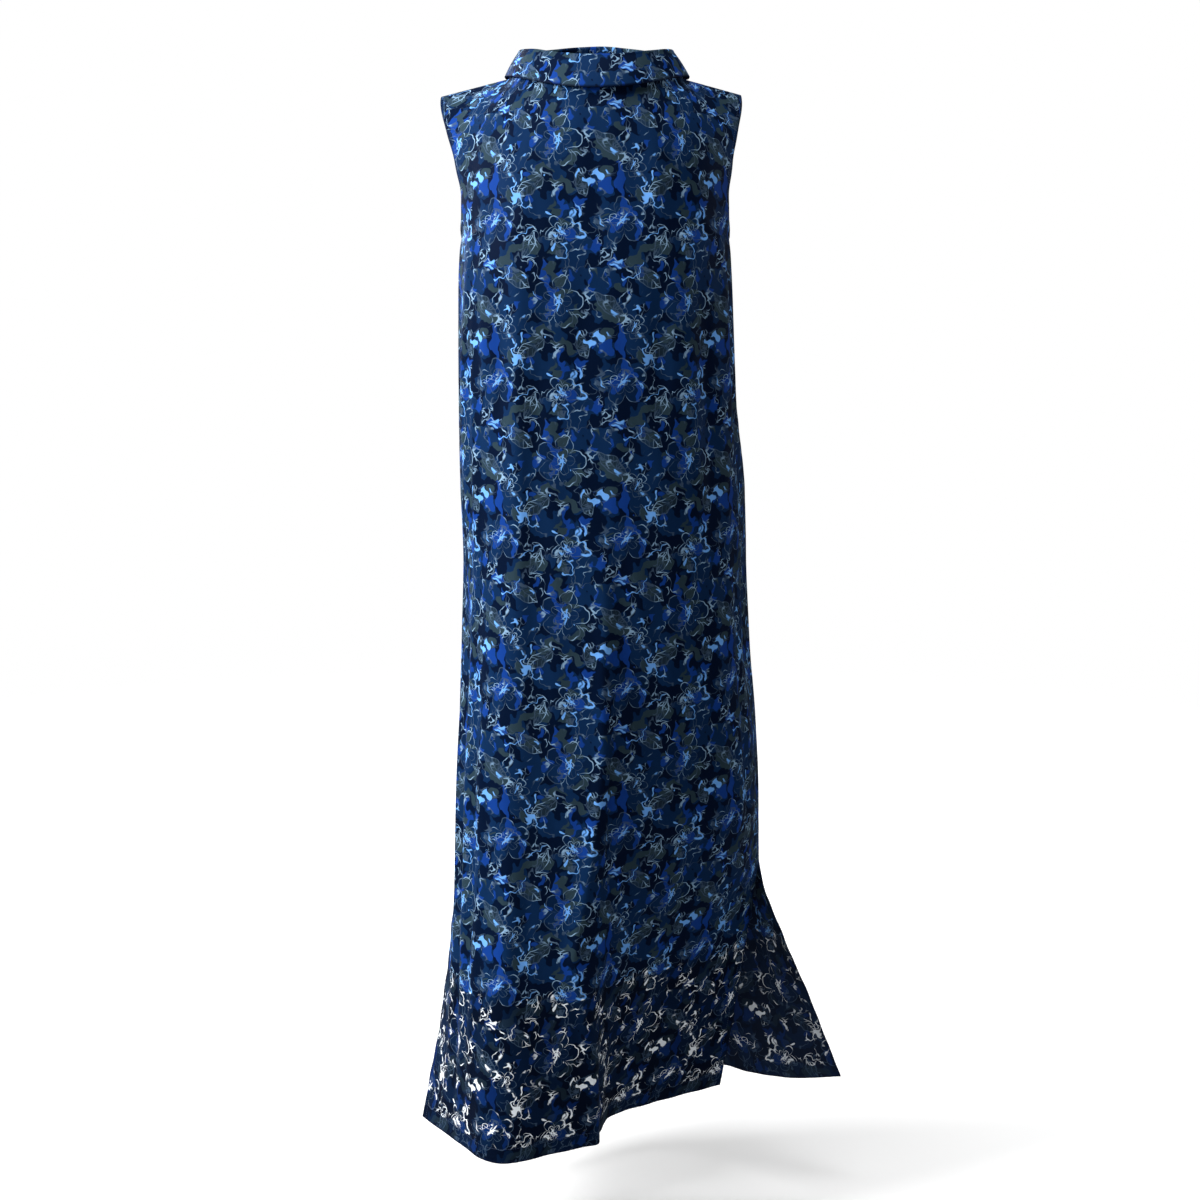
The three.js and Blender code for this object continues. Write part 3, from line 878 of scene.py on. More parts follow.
    def stitch_lines(self) -> list[np.ndarray]:
        """Lines of the stitches along the hem, the slits and the armholes, in millimetres."""
        left, right, _ = self.edge_distance()
        hem = self.flat[:, 0, 1]
        row = float(np.interp(self.hem_turn - STITCH_INSET, hem, np.arange(len(hem))))
        lines = [np.array([self.at(row, j) for j in range(3, len(self.shares) - 3)])]
        slit_top = int(np.searchsorted(self.heights, SLIT_Z)) + 3
        count = np.arange(len(self.shares))
        spans = [
            (2, slit_top, self.slit_turn),
            (self.underarm_row + 1, len(self.points) - 2, self.armhole_turn),
        ]
        for first, last, turn in spans:
            for edge, way in ((left, 1), (right, -1)):
                columns = [
                    np.interp(turn - STITCH_INSET, edge[i][::way], count[::way])
                    for i in range(first, last)
                ]
                lines.append(np.array([self.at(i, c) for i, c in zip(range(first, last), columns)]))
        return lines


@dataclass(frozen=True)
class CollarLine:
    """One line round the neck that the collar follows, in millimetres."""

    left: float
    right: float
    y: float
    front: float
    back: float
    z: float
    front_rise: float
    back_rise: float

    def at(self, angle: np.ndarray) -> tuple[np.ndarray, np.ndarray]:
        """Points at angles round the neck.

        Args:
            angle: Angles from the wearer's left, towards the back.

        Returns:
            The points and the ways out from the neck.
        """
        across, deep, level = np.cos(angle), np.sin(angle), np.zeros_like(angle)
        half = np.where(across > 0, self.right, self.left)
        reach = np.where(deep > 0, self.back, -self.front)
        rise = np.where(deep > 0, self.back_rise, self.front_rise)
        out = unit(np.stack([across / half, deep / reach, level], axis=-1))
        height = self.z + rise * deep * deep
        return np.stack([half * across, self.y + reach * deep, height], axis=-1), out


@dataclass
class FunnelCollar:
    """The collar: a stand that rises from the neckline, folds over and falls outside."""

    seed: int = 31
    segments: int = 240
    wall: float = 1.5
    fold_radius: float = 2.1
    stand_steps: int = 12
    fold_steps: int = 9
    fall_steps: int = 15
    stand_belly: float = 0.8
    fall_belly: float = 1.1
    fall_wobble: float = 0.5
    fold_wobble: float = 0.5
    fold_lift: float = 0.7
    edge_wobble: float = 0.6
    wobble_turns: tuple[int, ...] = (3, 5, 8, 13)
    wobble_fade: float = 0.7
    lift_shift: int = 40
    edge_shift: int = 90
    edge_swell: tuple[float, float] = (1.06, 1.1)
    tip_share: float = 0.4
    foot_step: float = 0.1
    print_up: float = 1700.0
    print_ease: float = 1.12
    seam: CollarLine = CollarLine(104, 104, 4, -104, 66, 0.3, -20, 12)
    fold: CollarLine = CollarLine(91, 91, -6, -79, 68, 27, -15, 16)
    edge: CollarLine = CollarLine(109.5, 112.5, 4, -110, 77, 0.4, -25.5, 17)

    def path(self) -> np.ndarray:
        """Middle line of the cloth from the neckline to the free edge, at every angle.

        Returns:
            Points by angle and step, in millimetres.
        """
        angle = 2 * math.pi * np.arange(self.segments) / self.segments
        draw = np.random.default_rng(self.seed)
        wobble = np.zeros_like(angle)
        for turns in self.wobble_turns:
            phase = draw.uniform(0, 2 * math.pi)
            wobble += np.sin(turns * angle + phase) / turns**self.wobble_fade
        wobble = wobble[:, None]
        seam, seam_out = self.seam.at(angle)
        fold, fold_out = self.fold.at(angle)
        edge, edge_out = self.edge.at(angle)
        lift = np.array([0, 0, self.fold_lift]) * np.roll(wobble, self.lift_shift, axis=0)
        fold = fold + fold_out * wobble * self.fold_wobble + lift
        edge = edge + edge_out * np.roll(wobble, self.edge_shift, axis=0) * self.edge_wobble
        foot = seam - seam_out * (self.wall / 2 + SEAM_GAP)
        stand_top = fold - fold_out * self.fold_radius
        fall_top = fold + fold_out * self.fold_radius
        lines = []
        for share in np.linspace(0, 1, self.stand_steps)[:-1]:
            belly = math.sin(math.pi * share) * self.stand_belly
            lines.append(foot * (1 - share) + stand_top * share - fold_out * belly)
        for bend in math.pi * np.linspace(1, 0, self.fold_steps):
            turn = fold + fold_out * self.fold_radius * math.cos(bend)
            turn[:, 2] += self.fold_radius * math.sin(bend)
            lines.append(turn)
        for share in np.linspace(0, 1, self.fall_steps)[1:]:
            belly = math.sin(math.pi * share) * (self.fall_belly + self.fall_wobble * wobble)
            lines.append(fall_top * (1 - share) + edge * share + edge_out * belly)
        return np.stack(lines, axis=1)

    def build(self) -> bpy.types.Object:
        """Builds the collar's closed band of cloth.

        Returns:
            The collar's object.
        """
        path = self.path()
        run = np.gradient(path, axis=1)
        out = unit(np.cross(run, np.roll(path, -1, axis=0) - np.roll(path, 1, axis=0)))
        steps = path.shape[1]
        thick = np.full((steps, 1), self.wall / 2)
        thick[-2:, 0] *= self.edge_swell
        tip = path[:, -1] + unit(run[:, -1]) * self.wall * self.tip_share
        foot = path[:, 0] - unit(run[:, 0]) * self.foot_step
        outer, inner = path + out * thick, path - out * thick
        ring = np.concatenate([outer, tip[:, None], inner[:, ::-1], foot[:, None]], axis=1)
        count = ring.shape[1]
        here = np.arange(self.segments * count).reshape(self.segments, count)
        there = np.roll(here, -1, axis=0)
        corners = [here, np.roll(here, -1, axis=1), np.roll(there, -1, axis=1), there]

        front = self.segments // 4
        down = running(np.linalg.norm(np.diff(path, axis=1), axis=2).mean(0))
        down = np.concatenate([down, [down[-1]], down[::-1], [0.0]])
        below = np.roll(down, -1)
        fold_line = path[:, self.stand_steps + self.fold_steps // 2 - 1]
        arc = np.linalg.norm(np.roll(fold_line, -1, axis=0) - fold_line, axis=1)
        across = running(np.roll(arc, -front)) * self.print_ease
        slot = (np.arange(self.segments) - front) % self.segments
        flat = np.empty((self.segments, count, 4, 2))
        flat[..., 0] = across[slot[:, None] + np.array([0, 0, 1, 1])][:, None]
        flat[..., 1] = self.print_up - np.stack([down, below, below, down], axis=-1)
        # Painted shade: the rim mask darkens the collar's free edge, where it rolls under.
        rim = np.zeros((self.segments, count))
        rim[:, steps - 1 : steps + 2] = 1.0
        parts = MeshParts(
            ring.reshape(-1, 3),
            np.stack(corners, axis=-1).reshape(-1, 4),
            flat.reshape(-1, 4, 2),
            rim.ravel(),
            np.zeros(self.segments * count, bool),
        )
        return parts.make("funnel_collar_cloth")


class NodeSheet:
    """Places and joins the nodes of one tree."""

    def __init__(self, tree: bpy.types.NodeTree) -> None:
        """Keeps the tree.

        Args:
            tree: A material's or a group's node tree.
        """
        self.tree = tree

    def node(
        self, kind: str, inputs: dict[str | int, object] | None = None, **values: object
    ) -> bpy.types.Node:
        """Adds a node.

        Args:
            kind: Its type.
            inputs: Values or sockets for its inputs, by name or place.
            **values: Its properties.

        Returns:
            The node.
        """
        made = self.tree.nodes.new(kind)
        for name, value in values.items():
            setattr(made, name, value)
        return self.fill(made, inputs or {})

    def fill(self, node: bpy.types.Node, inputs: dict[str | int, object]) -> bpy.types.Node:
        """Joins or sets several of a node's inputs, by name or place."""
        for name, value in inputs.items():
            self.feed(node.inputs[name], value)
        return node

    def feed(self, socket: bpy.types.NodeSocket, value: object) -> None:
        """Joins a socket to an input, or sets the input's value."""
        if isinstance(value, bpy.types.NodeSocket):
            self.tree.links.new(value, socket)
        else:
            socket.default_value = value

    def math(self, operation: str, *inputs: object) -> bpy.types.NodeSocket:
        """A Math node's result."""
        return self.node("ShaderNodeMath", dict(enumerate(inputs)), operation=operation).outputs[0]

    def plus(self, first: object, second: object) -> bpy.types.NodeSocket:
        """The sum of two values."""
        return self.math("ADD", first, second)

    def minus(self, first: object, second: object) -> bpy.types.NodeSocket:
        """The first value less the second."""
        return self.math("SUBTRACT", first, second)

    def times(self, first: object, second: object) -> bpy.types.NodeSocket:
        """The product of two values."""
        return self.math("MULTIPLY", first, second)

    def fused(self, first: object, second: object, third: object) -> bpy.types.NodeSocket:
        """The product of the first two values, plus the third."""
        return self.math("MULTIPLY_ADD", first, second, third)

    def higher(self, first: object, second: object) -> bpy.types.NodeSocket:
        """The larger of two values."""
        return self.math("MAXIMUM", first, second)

    def lower(self, first: object, second: object) -> bpy.types.NodeSocket:
        """The smaller of two values."""
        return self.math("MINIMUM", first, second)

    def size(self, value: object) -> bpy.types.NodeSocket:
        """A value without its sign."""
        return self.math("ABSOLUTE", value)

    def mix(
        self, share: object, first: object, second: object, blend: str = "MIX"
    ) -> bpy.types.NodeSocket:
        """Blends two colours."""
        made = self.node("ShaderNodeMix", data_type="RGBA", blend_type=blend)
        return self.fill(made, {0: share, 6: first, 7: second}).outputs[2]

    def step(self, value: object, low: object, high: object) -> bpy.types.NodeSocket:
        """A soft step that rises from 0 at low to 1 at high."""
        made = self.node(
            "ShaderNodeMapRange",
            {"Value": value, "From Min": low, "From Max": high, "To Min": 0.0, "To Max": 1.0},
            interpolation_type="SMOOTHSTEP",
        )
        return made.outputs[0]

    def fall(self, value: object, low: object, high: object) -> bpy.types.NodeSocket:
        """A soft step that falls from 1 at low to 0 at high."""
        return self.minus(1.0, self.step(value, low, high))


def new_group(
    name: str, inputs: list[tuple[str, str, object]], outputs: list[tuple[str, str]]
) -> tuple[bpy.types.NodeTree, NodeSheet, bpy.types.Node, bpy.types.Node]:
    """Starts a shader node group.

    Args:
        name: The group's name.
        inputs: Name, socket type and default value of each input.
        outputs: Name and socket type of each output.

    Returns:
        The group, its sheet, its input node and its output node.
    """
    group = bpy.data.node_groups.new(name, "ShaderNodeTree")
    for label, kind, value in inputs:
        socket = group.interface.new_socket(label, in_out="INPUT", socket_type=kind)
        if value is not None:
            socket.default_value = value
    for label, kind in outputs:
        group.interface.new_socket(label, in_out="OUTPUT", socket_type=kind)
    sheet = NodeSheet(group)
    return group, sheet, sheet.node("NodeGroupInput"), sheet.node("NodeGroupOutput")


FLOAT = "NodeSocketFloat"
COLOUR = "NodeSocketColor"
VECTOR = "NodeSocketVector"
Point = tuple[float, float, float]
Rgba = tuple[float, float, float, float]


@dataclass(frozen=True)
class Motif:
    """One drawn motif in the print's repeat, in metres and radians."""

    across: float
    up: float
    turn: float
    size: float


@dataclass(frozen=True)
class FlowerPrint:
    """A generic print of line-drawn flowers and leaves over brushed blotches, with a hem border."""

    repeat_across: float = 0.152
    repeat_up: float = 0.184
    line: float = 0.00052
    border_top: float = 0.205
    plain_hem: float = 0.021
    border_unevenness: float = 0.05
    border_calm: float = 0.62
    brushing: float = 0.022
    shaking: float = 0.0085
    petals: int = 5
    petal_edge: tuple[float, float] = (0.62, 0.38)
    petal_round: float = 0.55
    inner_line: float = 0.55
    bud_line: float = 0.17
    leaf_half_width: float = 0.42
    branch_gap: float = 0.006
    soft_edge: float = 0.0008
    ground: Rgba = (0.0006, 0.0051, 0.0215, 1)
    tone: Rgba = (0.0030, 0.0190, 0.067, 1)
    royal: Rgba = (0.0055, 0.039, 0.225, 1)
    grey: Rgba = (0.020, 0.040, 0.056, 1)
    sky: Rgba = (0.140, 0.37, 0.83, 1)
    pale: Rgba = (0.225, 0.37, 0.545, 1)
    faint: Rgba = (0.044, 0.076, 0.130, 1)
    border_ground: Rgba = (0.0006, 0.0036, 0.0140, 1)
    white: Rgba = (0.88, 0.94, 1.0, 1)
    flowers: tuple[Motif, ...] = (
        Motif(0.034, 0.040, 0.4, 0.027),
        Motif(0.110, 0.132, 1.3, 0.030),
        Motif(0.114, 0.028, 2.2, 0.019),
        Motif(0.046, 0.104, 0.9, 0.015),
    )
    leaves: tuple[Motif, ...] = (
        Motif(0.078, 0.078, 0.6, 0.020),
        Motif(0.018, 0.128, -0.7, 0.021),
        Motif(0.062, 0.160, 2.5, 0.019),
        Motif(0.138, 0.082, 1.9, 0.017),
        Motif(0.076, 0.012, 1.1, 0.015),
    )

    def local_group(self) -> bpy.types.NodeTree:
        """Group that gives a motif's own coordinates within the repeat."""
        names = ("Across", "Up", "Motif Across", "Motif Up", "Turn")
        inputs = [(name, FLOAT, 0.0) for name in names]
        group, s, given, out = new_group("motif_place", inputs, [("X", FLOAT), ("Y", FLOAT)])
        across, up, motif_across, motif_up, turn = (given.outputs[name] for name in names)
        half_a, half_u = self.repeat_across / 2, self.repeat_up / 2
        x = s.math("WRAP", s.minus(across, motif_across), half_a, -half_a)
        y = s.math("WRAP", s.minus(up, motif_up), half_u, -half_u)
        cosine, sine = s.math("COSINE", turn), s.math("SINE", turn)
        s.feed(out.inputs["X"], s.plus(s.times(x, cosine), s.times(y, sine)))
        s.feed(out.inputs["Y"], s.minus(s.times(y, cosine), s.times(x, sine)))
        return group

    def drawing(self, name: str, outputs: tuple[str, ...]) -> tuple:
        """Starts the group of a motif's drawing.

        Args:
            name: The group's name.
            outputs: Names of its masks.

        Returns:
            The group, its sheet, its output node, and its inputs X, Y, Size and Line.
        """
        names = ("X", "Y", "Size", "Line")
        defaults = (0.0, 0.0, 0.02, self.line)
        inputs = [(label, FLOAT, value) for label, value in zip(names, defaults)]
        group, s, given, out = new_group(name, inputs, [(label, FLOAT) for label in outputs])
        return group, s, out, [given.outputs[label] for label in names]

    def flower_group(self) -> bpy.types.NodeTree:
        """Group that draws a five-petalled flower: its lines, its filled form and its heart."""
        group, s, out, given = self.drawing("line_flower", ("Lines", "Form", "Heart"))
        x, y, size, line = given
        angle = s.math("ARCTAN2", y, x)
        away = s.math("SQRT", s.plus(s.times(x, x), s.times(y, y)))
        half_turns = s.times(angle, self.petals / 2)
        lobe = s.math("POWER", s.size(s.math("COSINE", half_turns)), self.petal_round)
        edge = s.times(size, s.fused(lobe, *self.petal_edge))
        outline = s.size(s.minus(away, edge))
        inner = s.size(s.minus(away, s.times(edge, self.inner_line)))
        bud = s.size(s.minus(away, s.times(size, self.bud_line)))
        vein = s.times(away, s.size(s.math("SINE", half_turns)))
        vein = s.plus(vein, s.step(away, s.times(size, 0.6), s.times(size, 0.75)))
        nearest = s.lower(s.lower(outline, s.times(inner, 1.4)), bud)
        nearest = s.lower(nearest, s.times(vein, 1.6))
        s.feed(out.inputs["Lines"], s.fall(nearest, s.times(line, 0.6), s.times(line, 1.5)))
        s.feed(out.inputs["Form"], s.fall(s.minus(away, edge), 0.0, self.soft_edge))
        ray = s.math("POWER", s.size(s.math("COSINE", s.fused(angle, 3.5, 0.6))), 4.0)
        uneven = s.fused(s.math("SINE", s.fused(angle, 2.0, 1.1)), 0.5, 0.5)
        star = s.times(size, s.fused(s.times(ray, uneven), 0.3, 0.07))
        s.feed(out.inputs["Heart"], s.fall(s.minus(away, star), -0.0002, 0.0006))
        return group

    def leaf_group(self) -> bpy.types.NodeTree:
        """Group that draws a pointed leaf: its lines and its filled form."""
        group, s, out, given = self.drawing("line_leaf", ("Lines", "Form"))
        x, y, size, line = given
        along = s.math("DIVIDE", x, size)
        half = s.times(size, self.leaf_half_width)
        half = s.times(half, s.minus(1.0, s.times(along, along)))
        aside = s.size(y)
        past = s.minus(aside, half)
        reach = self.branch_gap / 2
        branch = s.size(s.math("WRAP", s.fused(aside, 0.9, x), reach, -reach))
        branch = s.plus(s.times(branch, 1.8), s.times(s.step(past, 0.0, 0.001), 0.01))
        nearest = s.lower(s.lower(s.size(past), s.times(aside, 1.5)), branch)
        nearest = s.fused(s.step(s.size(along), 1.0, 1.1), 0.01, nearest)
        s.feed(out.inputs["Lines"], s.fall(nearest, s.times(line, 0.5), s.times(line, 1.4)))
        s.feed(out.inputs["Form"], s.fall(past, 0.0, self.soft_edge))
        return group

    def repeat_noise(
        self,
        s: NodeSheet,
        place: tuple[object, object],
        scale: float,
        offset: float,
        detail: float,
        tall: float = 1.0,
    ) -> bpy.types.Node:
        """A noise that repeats with the print.

        Args:
            s: The sheet of the tree.
            place: The coordinates across and up, in metres.
            scale: Features to the metre.
            offset: A shift that makes this noise unlike the others.
            detail: Its detail.
            tall: How much taller than wide its features are.

        Returns:
            The noise node.
        """
        full = 2 * math.pi
        across = s.times(place[0], full / self.repeat_across)
        up = s.times(place[1], full / self.repeat_up)
        wide = self.repeat_across / full * math.sqrt(tall)
        high = self.repeat_up / full / math.sqrt(tall)
        ring = s.node(
            "ShaderNodeCombineXYZ",
            {
                0: s.fused(s.math("COSINE", across), wide, offset),
                1: s.times(s.math("SINE", across), wide),
                2: s.fused(s.math("COSINE", up), high, offset),
            },
        )
        inputs = {"Vector": ring.outputs[0], "W": s.times(s.math("SINE", up), high)}
        inputs |= {"Scale": scale, "Detail": detail, "Roughness": 0.5}
        return s.node("ShaderNodeTexNoise", inputs, noise_dimensions="4D")

    def group(self) -> bpy.types.NodeTree:
        """Group that gives the print's colour from flat cloth coordinates."""
        inputs, outputs = [("Cloth", VECTOR, None)], [("Color", COLOUR)]
        group, s, given, out = new_group("flower_print", inputs, outputs)
        flat = s.node("ShaderNodeSeparateXYZ", {0: given.outputs["Cloth"]})
        place = across, up = flat.outputs[0], flat.outputs[1]
        brush = self.repeat_noise(s, place, scale=84.0, offset=3.1, detail=1.2)
        split = s.node("ShaderNodeSeparateColor", {0: brush.outputs["Color"]})
        first, second, third = (s.minus(split.outputs[i], 0.5) for i in range(3))
        brushed = s.fused(first, self.brushing, across), s.fused(second, self.brushing, up)
        drawn_at = s.fused(third, self.shaking, across), s.fused(first, self.shaking, up)

        def noise(place: tuple[object, object], *shape: float) -> bpy.types.NodeSocket:
            """Values of a repeating noise."""
            return self.repeat_noise(s, place, *shape).outputs["Fac"]

        def patch(scale: float, offset: float, level: float, tall: float) -> bpy.types.NodeSocket:
            """Brushed patches where a noise is above a level."""
            return s.step(noise(brushed, scale, offset, 1.0, tall), level, level + 0.012)

        def trace(scale: float, offset: float, level: float, width: float) -> bpy.types.NodeSocket:
            """Thin lines where a noise crosses a level."""
            off = s.size(s.minus(noise(brushed, scale, offset, 1.5), level))
            return s.fall(off, width * 0.5, width * 1.4)

        tone = patch(scale=40.0, offset=7.3, level=0.5, tall=1.0)
        royal = patch(scale=46.0, offset=11.9, level=0.605, tall=2.2)
        royal = s.higher(royal, patch(scale=40.0, offset=13.1, level=0.625, tall=0.7))
        grey = patch(scale=44.0, offset=17.7, level=0.575, tall=0.7)
        sky = patch(scale=52.0, offset=23.3, level=0.705, tall=0.55)
        sky = s.higher(sky, patch(scale=60.0, offset=29.1, level=0.715, tall=2.2))
        squiggle = trace(scale=46.0, offset=31.7, level=0.5, width=0.010)
        squiggle = s.higher(squiggle, trace(scale=58.0, offset=37.9, level=0.46, width=0.012))
        gap = noise(place, 60.0, 41.3, 0.0)
        bright = trace(scale=30.0, offset=47.0, level=0.55, width=0.010)
        bright = s.times(bright, s.step(gap, 0.55, 0.6))

        masks = {"Lines": [s.times(squiggle, s.step(gap, 0.44, 0.54))], "Heart": []}
        forms = []
        motif_place = self.local_group()
        drawings = ((self.flowers, self.flower_group()), (self.leaves, self.leaf_group()))
        for motifs, drawing in drawings:
            forms.append([])
            for motif in motifs:
                own = s.node("ShaderNodeGroup", node_tree=motif_place)
                s.fill(own, dict(enumerate((*drawn_at, motif.across, motif.up, motif.turn))))
                drawn = s.node("ShaderNodeGroup", node_tree=drawing)
                s.fill(drawn, {0: own.outputs[0], 1: own.outputs[1], 2: motif.size, 3: self.line})
                forms[-1].append(drawn.outputs["Form"])
                for name, found in masks.items():
                    if name in drawn.outputs:
                        found.append(drawn.outputs[name])
        lines, hearts = reduce(s.higher, masks["Lines"]), reduce(s.higher, masks["Heart"])
        petals, leaves = (reduce(s.higher, filled) for filled in forms)

        edge = s.fused(second, self.border_unevenness, up)
        border = s.fall(edge, self.border_top - 0.002, self.border_top + 0.002)
        hem = s.step(s.plus(brushed[1], -self.plain_hem), -0.001, 0.001)
        dimmed = s.fused(border, -self.border_calm, 1.0)
        colour = s.mix(border, self.ground, self.border_ground)
        layers = (
            (tone, self.tone),
            (s.times(petals, 0.55), self.tone),
            (royal, self.royal),
            (grey, self.grey),
            (s.times(leaves, 0.5), self.grey),
        )
        for mask, ink in layers:
            colour = s.mix(s.times(mask, dimmed), colour, ink)
        colour = s.mix(s.times(lines, 0.85), colour, self.faint)
        worn = noise(place, 82.0, 53.0, 0.6)
        strong = s.times(s.times(lines, hem), s.step(worn, s.fused(border, 0.035, 0.47), 0.62))
        colour = s.mix(strong, colour, s.mix(border, self.pale, self.white))
        light = s.mix(border, self.sky, self.white)
        colour = s.mix(s.times(bright, hem), colour, light)
        accent = s.higher(sky, s.times(hearts, s.step(worn, 0.36, 0.46)))
        colour = s.mix(s.times(accent, hem), colour, light)
        s.feed(out.inputs["Color"], colour)
        return group


@dataclass(frozen=True)
class Weave:
    """The plain weave of the cotton, seen as fine threads and a slight slub."""

    threads: float = 1500.0
    slub: float = 210.0
    fuzz: float = 900.0
    broad: float = 9.0

    def group(self) -> bpy.types.NodeTree:
        """Group that gives the weave's height and its faint change of tone."""
        outputs = [("Height", FLOAT), ("Tone", FLOAT)]
        group, s, given, out = new_group("plain_weave", [("Cloth", VECTOR, None)], outputs)
        cloth = given.outputs["Cloth"]

        def noise(place: bpy.types.NodeSocket, scale: float, detail: float) -> bpy.types.NodeSocket:
            """Values of a noise over the cloth."""
            inputs = {"Vector": place, "Scale": scale, "Detail": detail}
            return s.node("ShaderNodeTexNoise", inputs).outputs["Fac"]

        flat = s.node("ShaderNodeSeparateXYZ", {0: cloth})
        turns = self.threads * 2 * math.pi
        warp, weft = (s.math("SINE", s.times(flat.outputs[i], turns)) for i in range(2))
        stretched = s.node("ShaderNodeMapping", {"Vector": cloth, "Scale": (1.0, 0.16, 1.0)})
        slub = noise(stretched.outputs[0], self.slub, 3.0)
        height = s.fused(s.times(warp, weft), 0.12, s.times(slub, 0.5))
        s.feed(out.inputs["Height"], s.fused(noise(cloth, self.fuzz, 1.0), 0.3, height))
        tone = s.fused(noise(cloth, self.broad, 2.0), 0.16, 0.92)
        s.feed(out.inputs["Tone"], s.fused(s.minus(slub, 0.5), 0.14, tone))
        return group


def new_material(name: str) -> tuple[bpy.types.Material, NodeSheet, bpy.types.Node]:
    """Starts a material.

    Args:
        name: The material's name.

    Returns:
        The material, its sheet and its shader.
    """
    made = bpy.data.materials.new(name)
    made.use_nodes = True
    made.node_tree.nodes.clear()
    s = NodeSheet(made.node_tree)
    shader = s.node("ShaderNodeBsdfPrincipled")
    s.node("ShaderNodeOutputMaterial", {"Surface": shader.outputs[0]})
    return made, s, shader


@dataclass
class PrintedCotton:
    """Finish of the cloth: the print in a softly shining cotton, with painted shade along its
    edges.
    """

    print_group: bpy.types.NodeTree
    weave_group: bpy.types.NodeTree
    bleed: float = 0.22
    wrong_side: Rgba = (0.03, 0.045, 0.085, 1)
    # Painted shade along the edges: how strongly the rim mask darkens the colour, and the colour of
    # that shade.
    edge_shade_weight: float = 0.75
    fold_shade: Rgba = (0.003, 0.006, 0.022, 1)
    gloss: float = 0.02
    sheen: float = 0.01
    sheen_tint: Rgba = (0.5, 0.68, 1.0, 1)

    def material(self, name: str, side: Side) -> bpy.types.Material:
        """Makes the cloth's material.

        Args:
            name: The material's name.
            side: The side of the cloth that it covers.

        Returns:
            The material.
        """
        made, s, shader = new_material(name)
        flat = s.node("ShaderNodeUVMap", uv_map="cloth").outputs[0]
        printed, weave = (
            s.fill(s.node("ShaderNodeGroup", node_tree=group), {"Cloth": flat})
            for group in (self.print_group, self.weave_group)
        )
        tone = weave.outputs["Tone"]
        grey = s.node("ShaderNodeCombineColor", {0: tone, 1: tone, 2: tone}).outputs[0]
        colour = s.mix(1.0, printed.outputs["Color"], grey, "MULTIPLY")
        if side is Side.WRONG:
            colour = s.mix(self.bleed, colour, self.wrong_side)
        # Painted shade: the rim mask mixes the colour towards fold_shade along the cloth's edges.
        rim = s.node("ShaderNodeAttribute", attribute_name="rim", attribute_type="GEOMETRY")
        edge = s.times(rim.outputs["Fac"], self.edge_shade_weight)
        relief = {"Height": weave.outputs["Height"], "Strength": 0.35, "Distance": 0.0004}
        finish = {
            "Base Color": s.mix(edge, colour, self.fold_shade),
            "Roughness": s.fused(tone, 0.25, 0.37),
            "Normal": s.node("ShaderNodeBump", relief).outputs[0],
            "Sheen Weight": self.sheen,
            "Sheen Roughness": 0.4,
            "Sheen Tint": self.sheen_tint,
            "Specular IOR Level": self.gloss,
        }
        s.fill(shader, finish)
        return made


@dataclass(frozen=True)
class Thread:
    """Finish of the sewing thread: navy, with a twist along it."""

    colour: Rgba = (0.012, 0.026, 0.075, 1)
    light: Rgba = (0.03, 0.055, 0.13, 1)
    twist: float = 1400.0

    def material(self, name: str) -> bpy.types.Material:
        """Makes the thread's material."""
        made, s, shader = new_material(name)
        place = s.node("ShaderNodeTexCoord").outputs["Object"]
        inputs = {"Vector": place, "Scale": self.twist, "Detail": 2.0}
        twist = s.node("ShaderNodeTexNoise", inputs).outputs["Fac"]
        relief = {"Height": twist, "Strength": 0.4, "Distance": 0.0002}
        finish = {
            "Base Color": s.mix(twist, self.colour, self.light),
            "Normal": s.node("ShaderNodeBump", relief).outputs[0],
            "Roughness": 0.55,
        }
        s.fill(shader, finish)
        return made


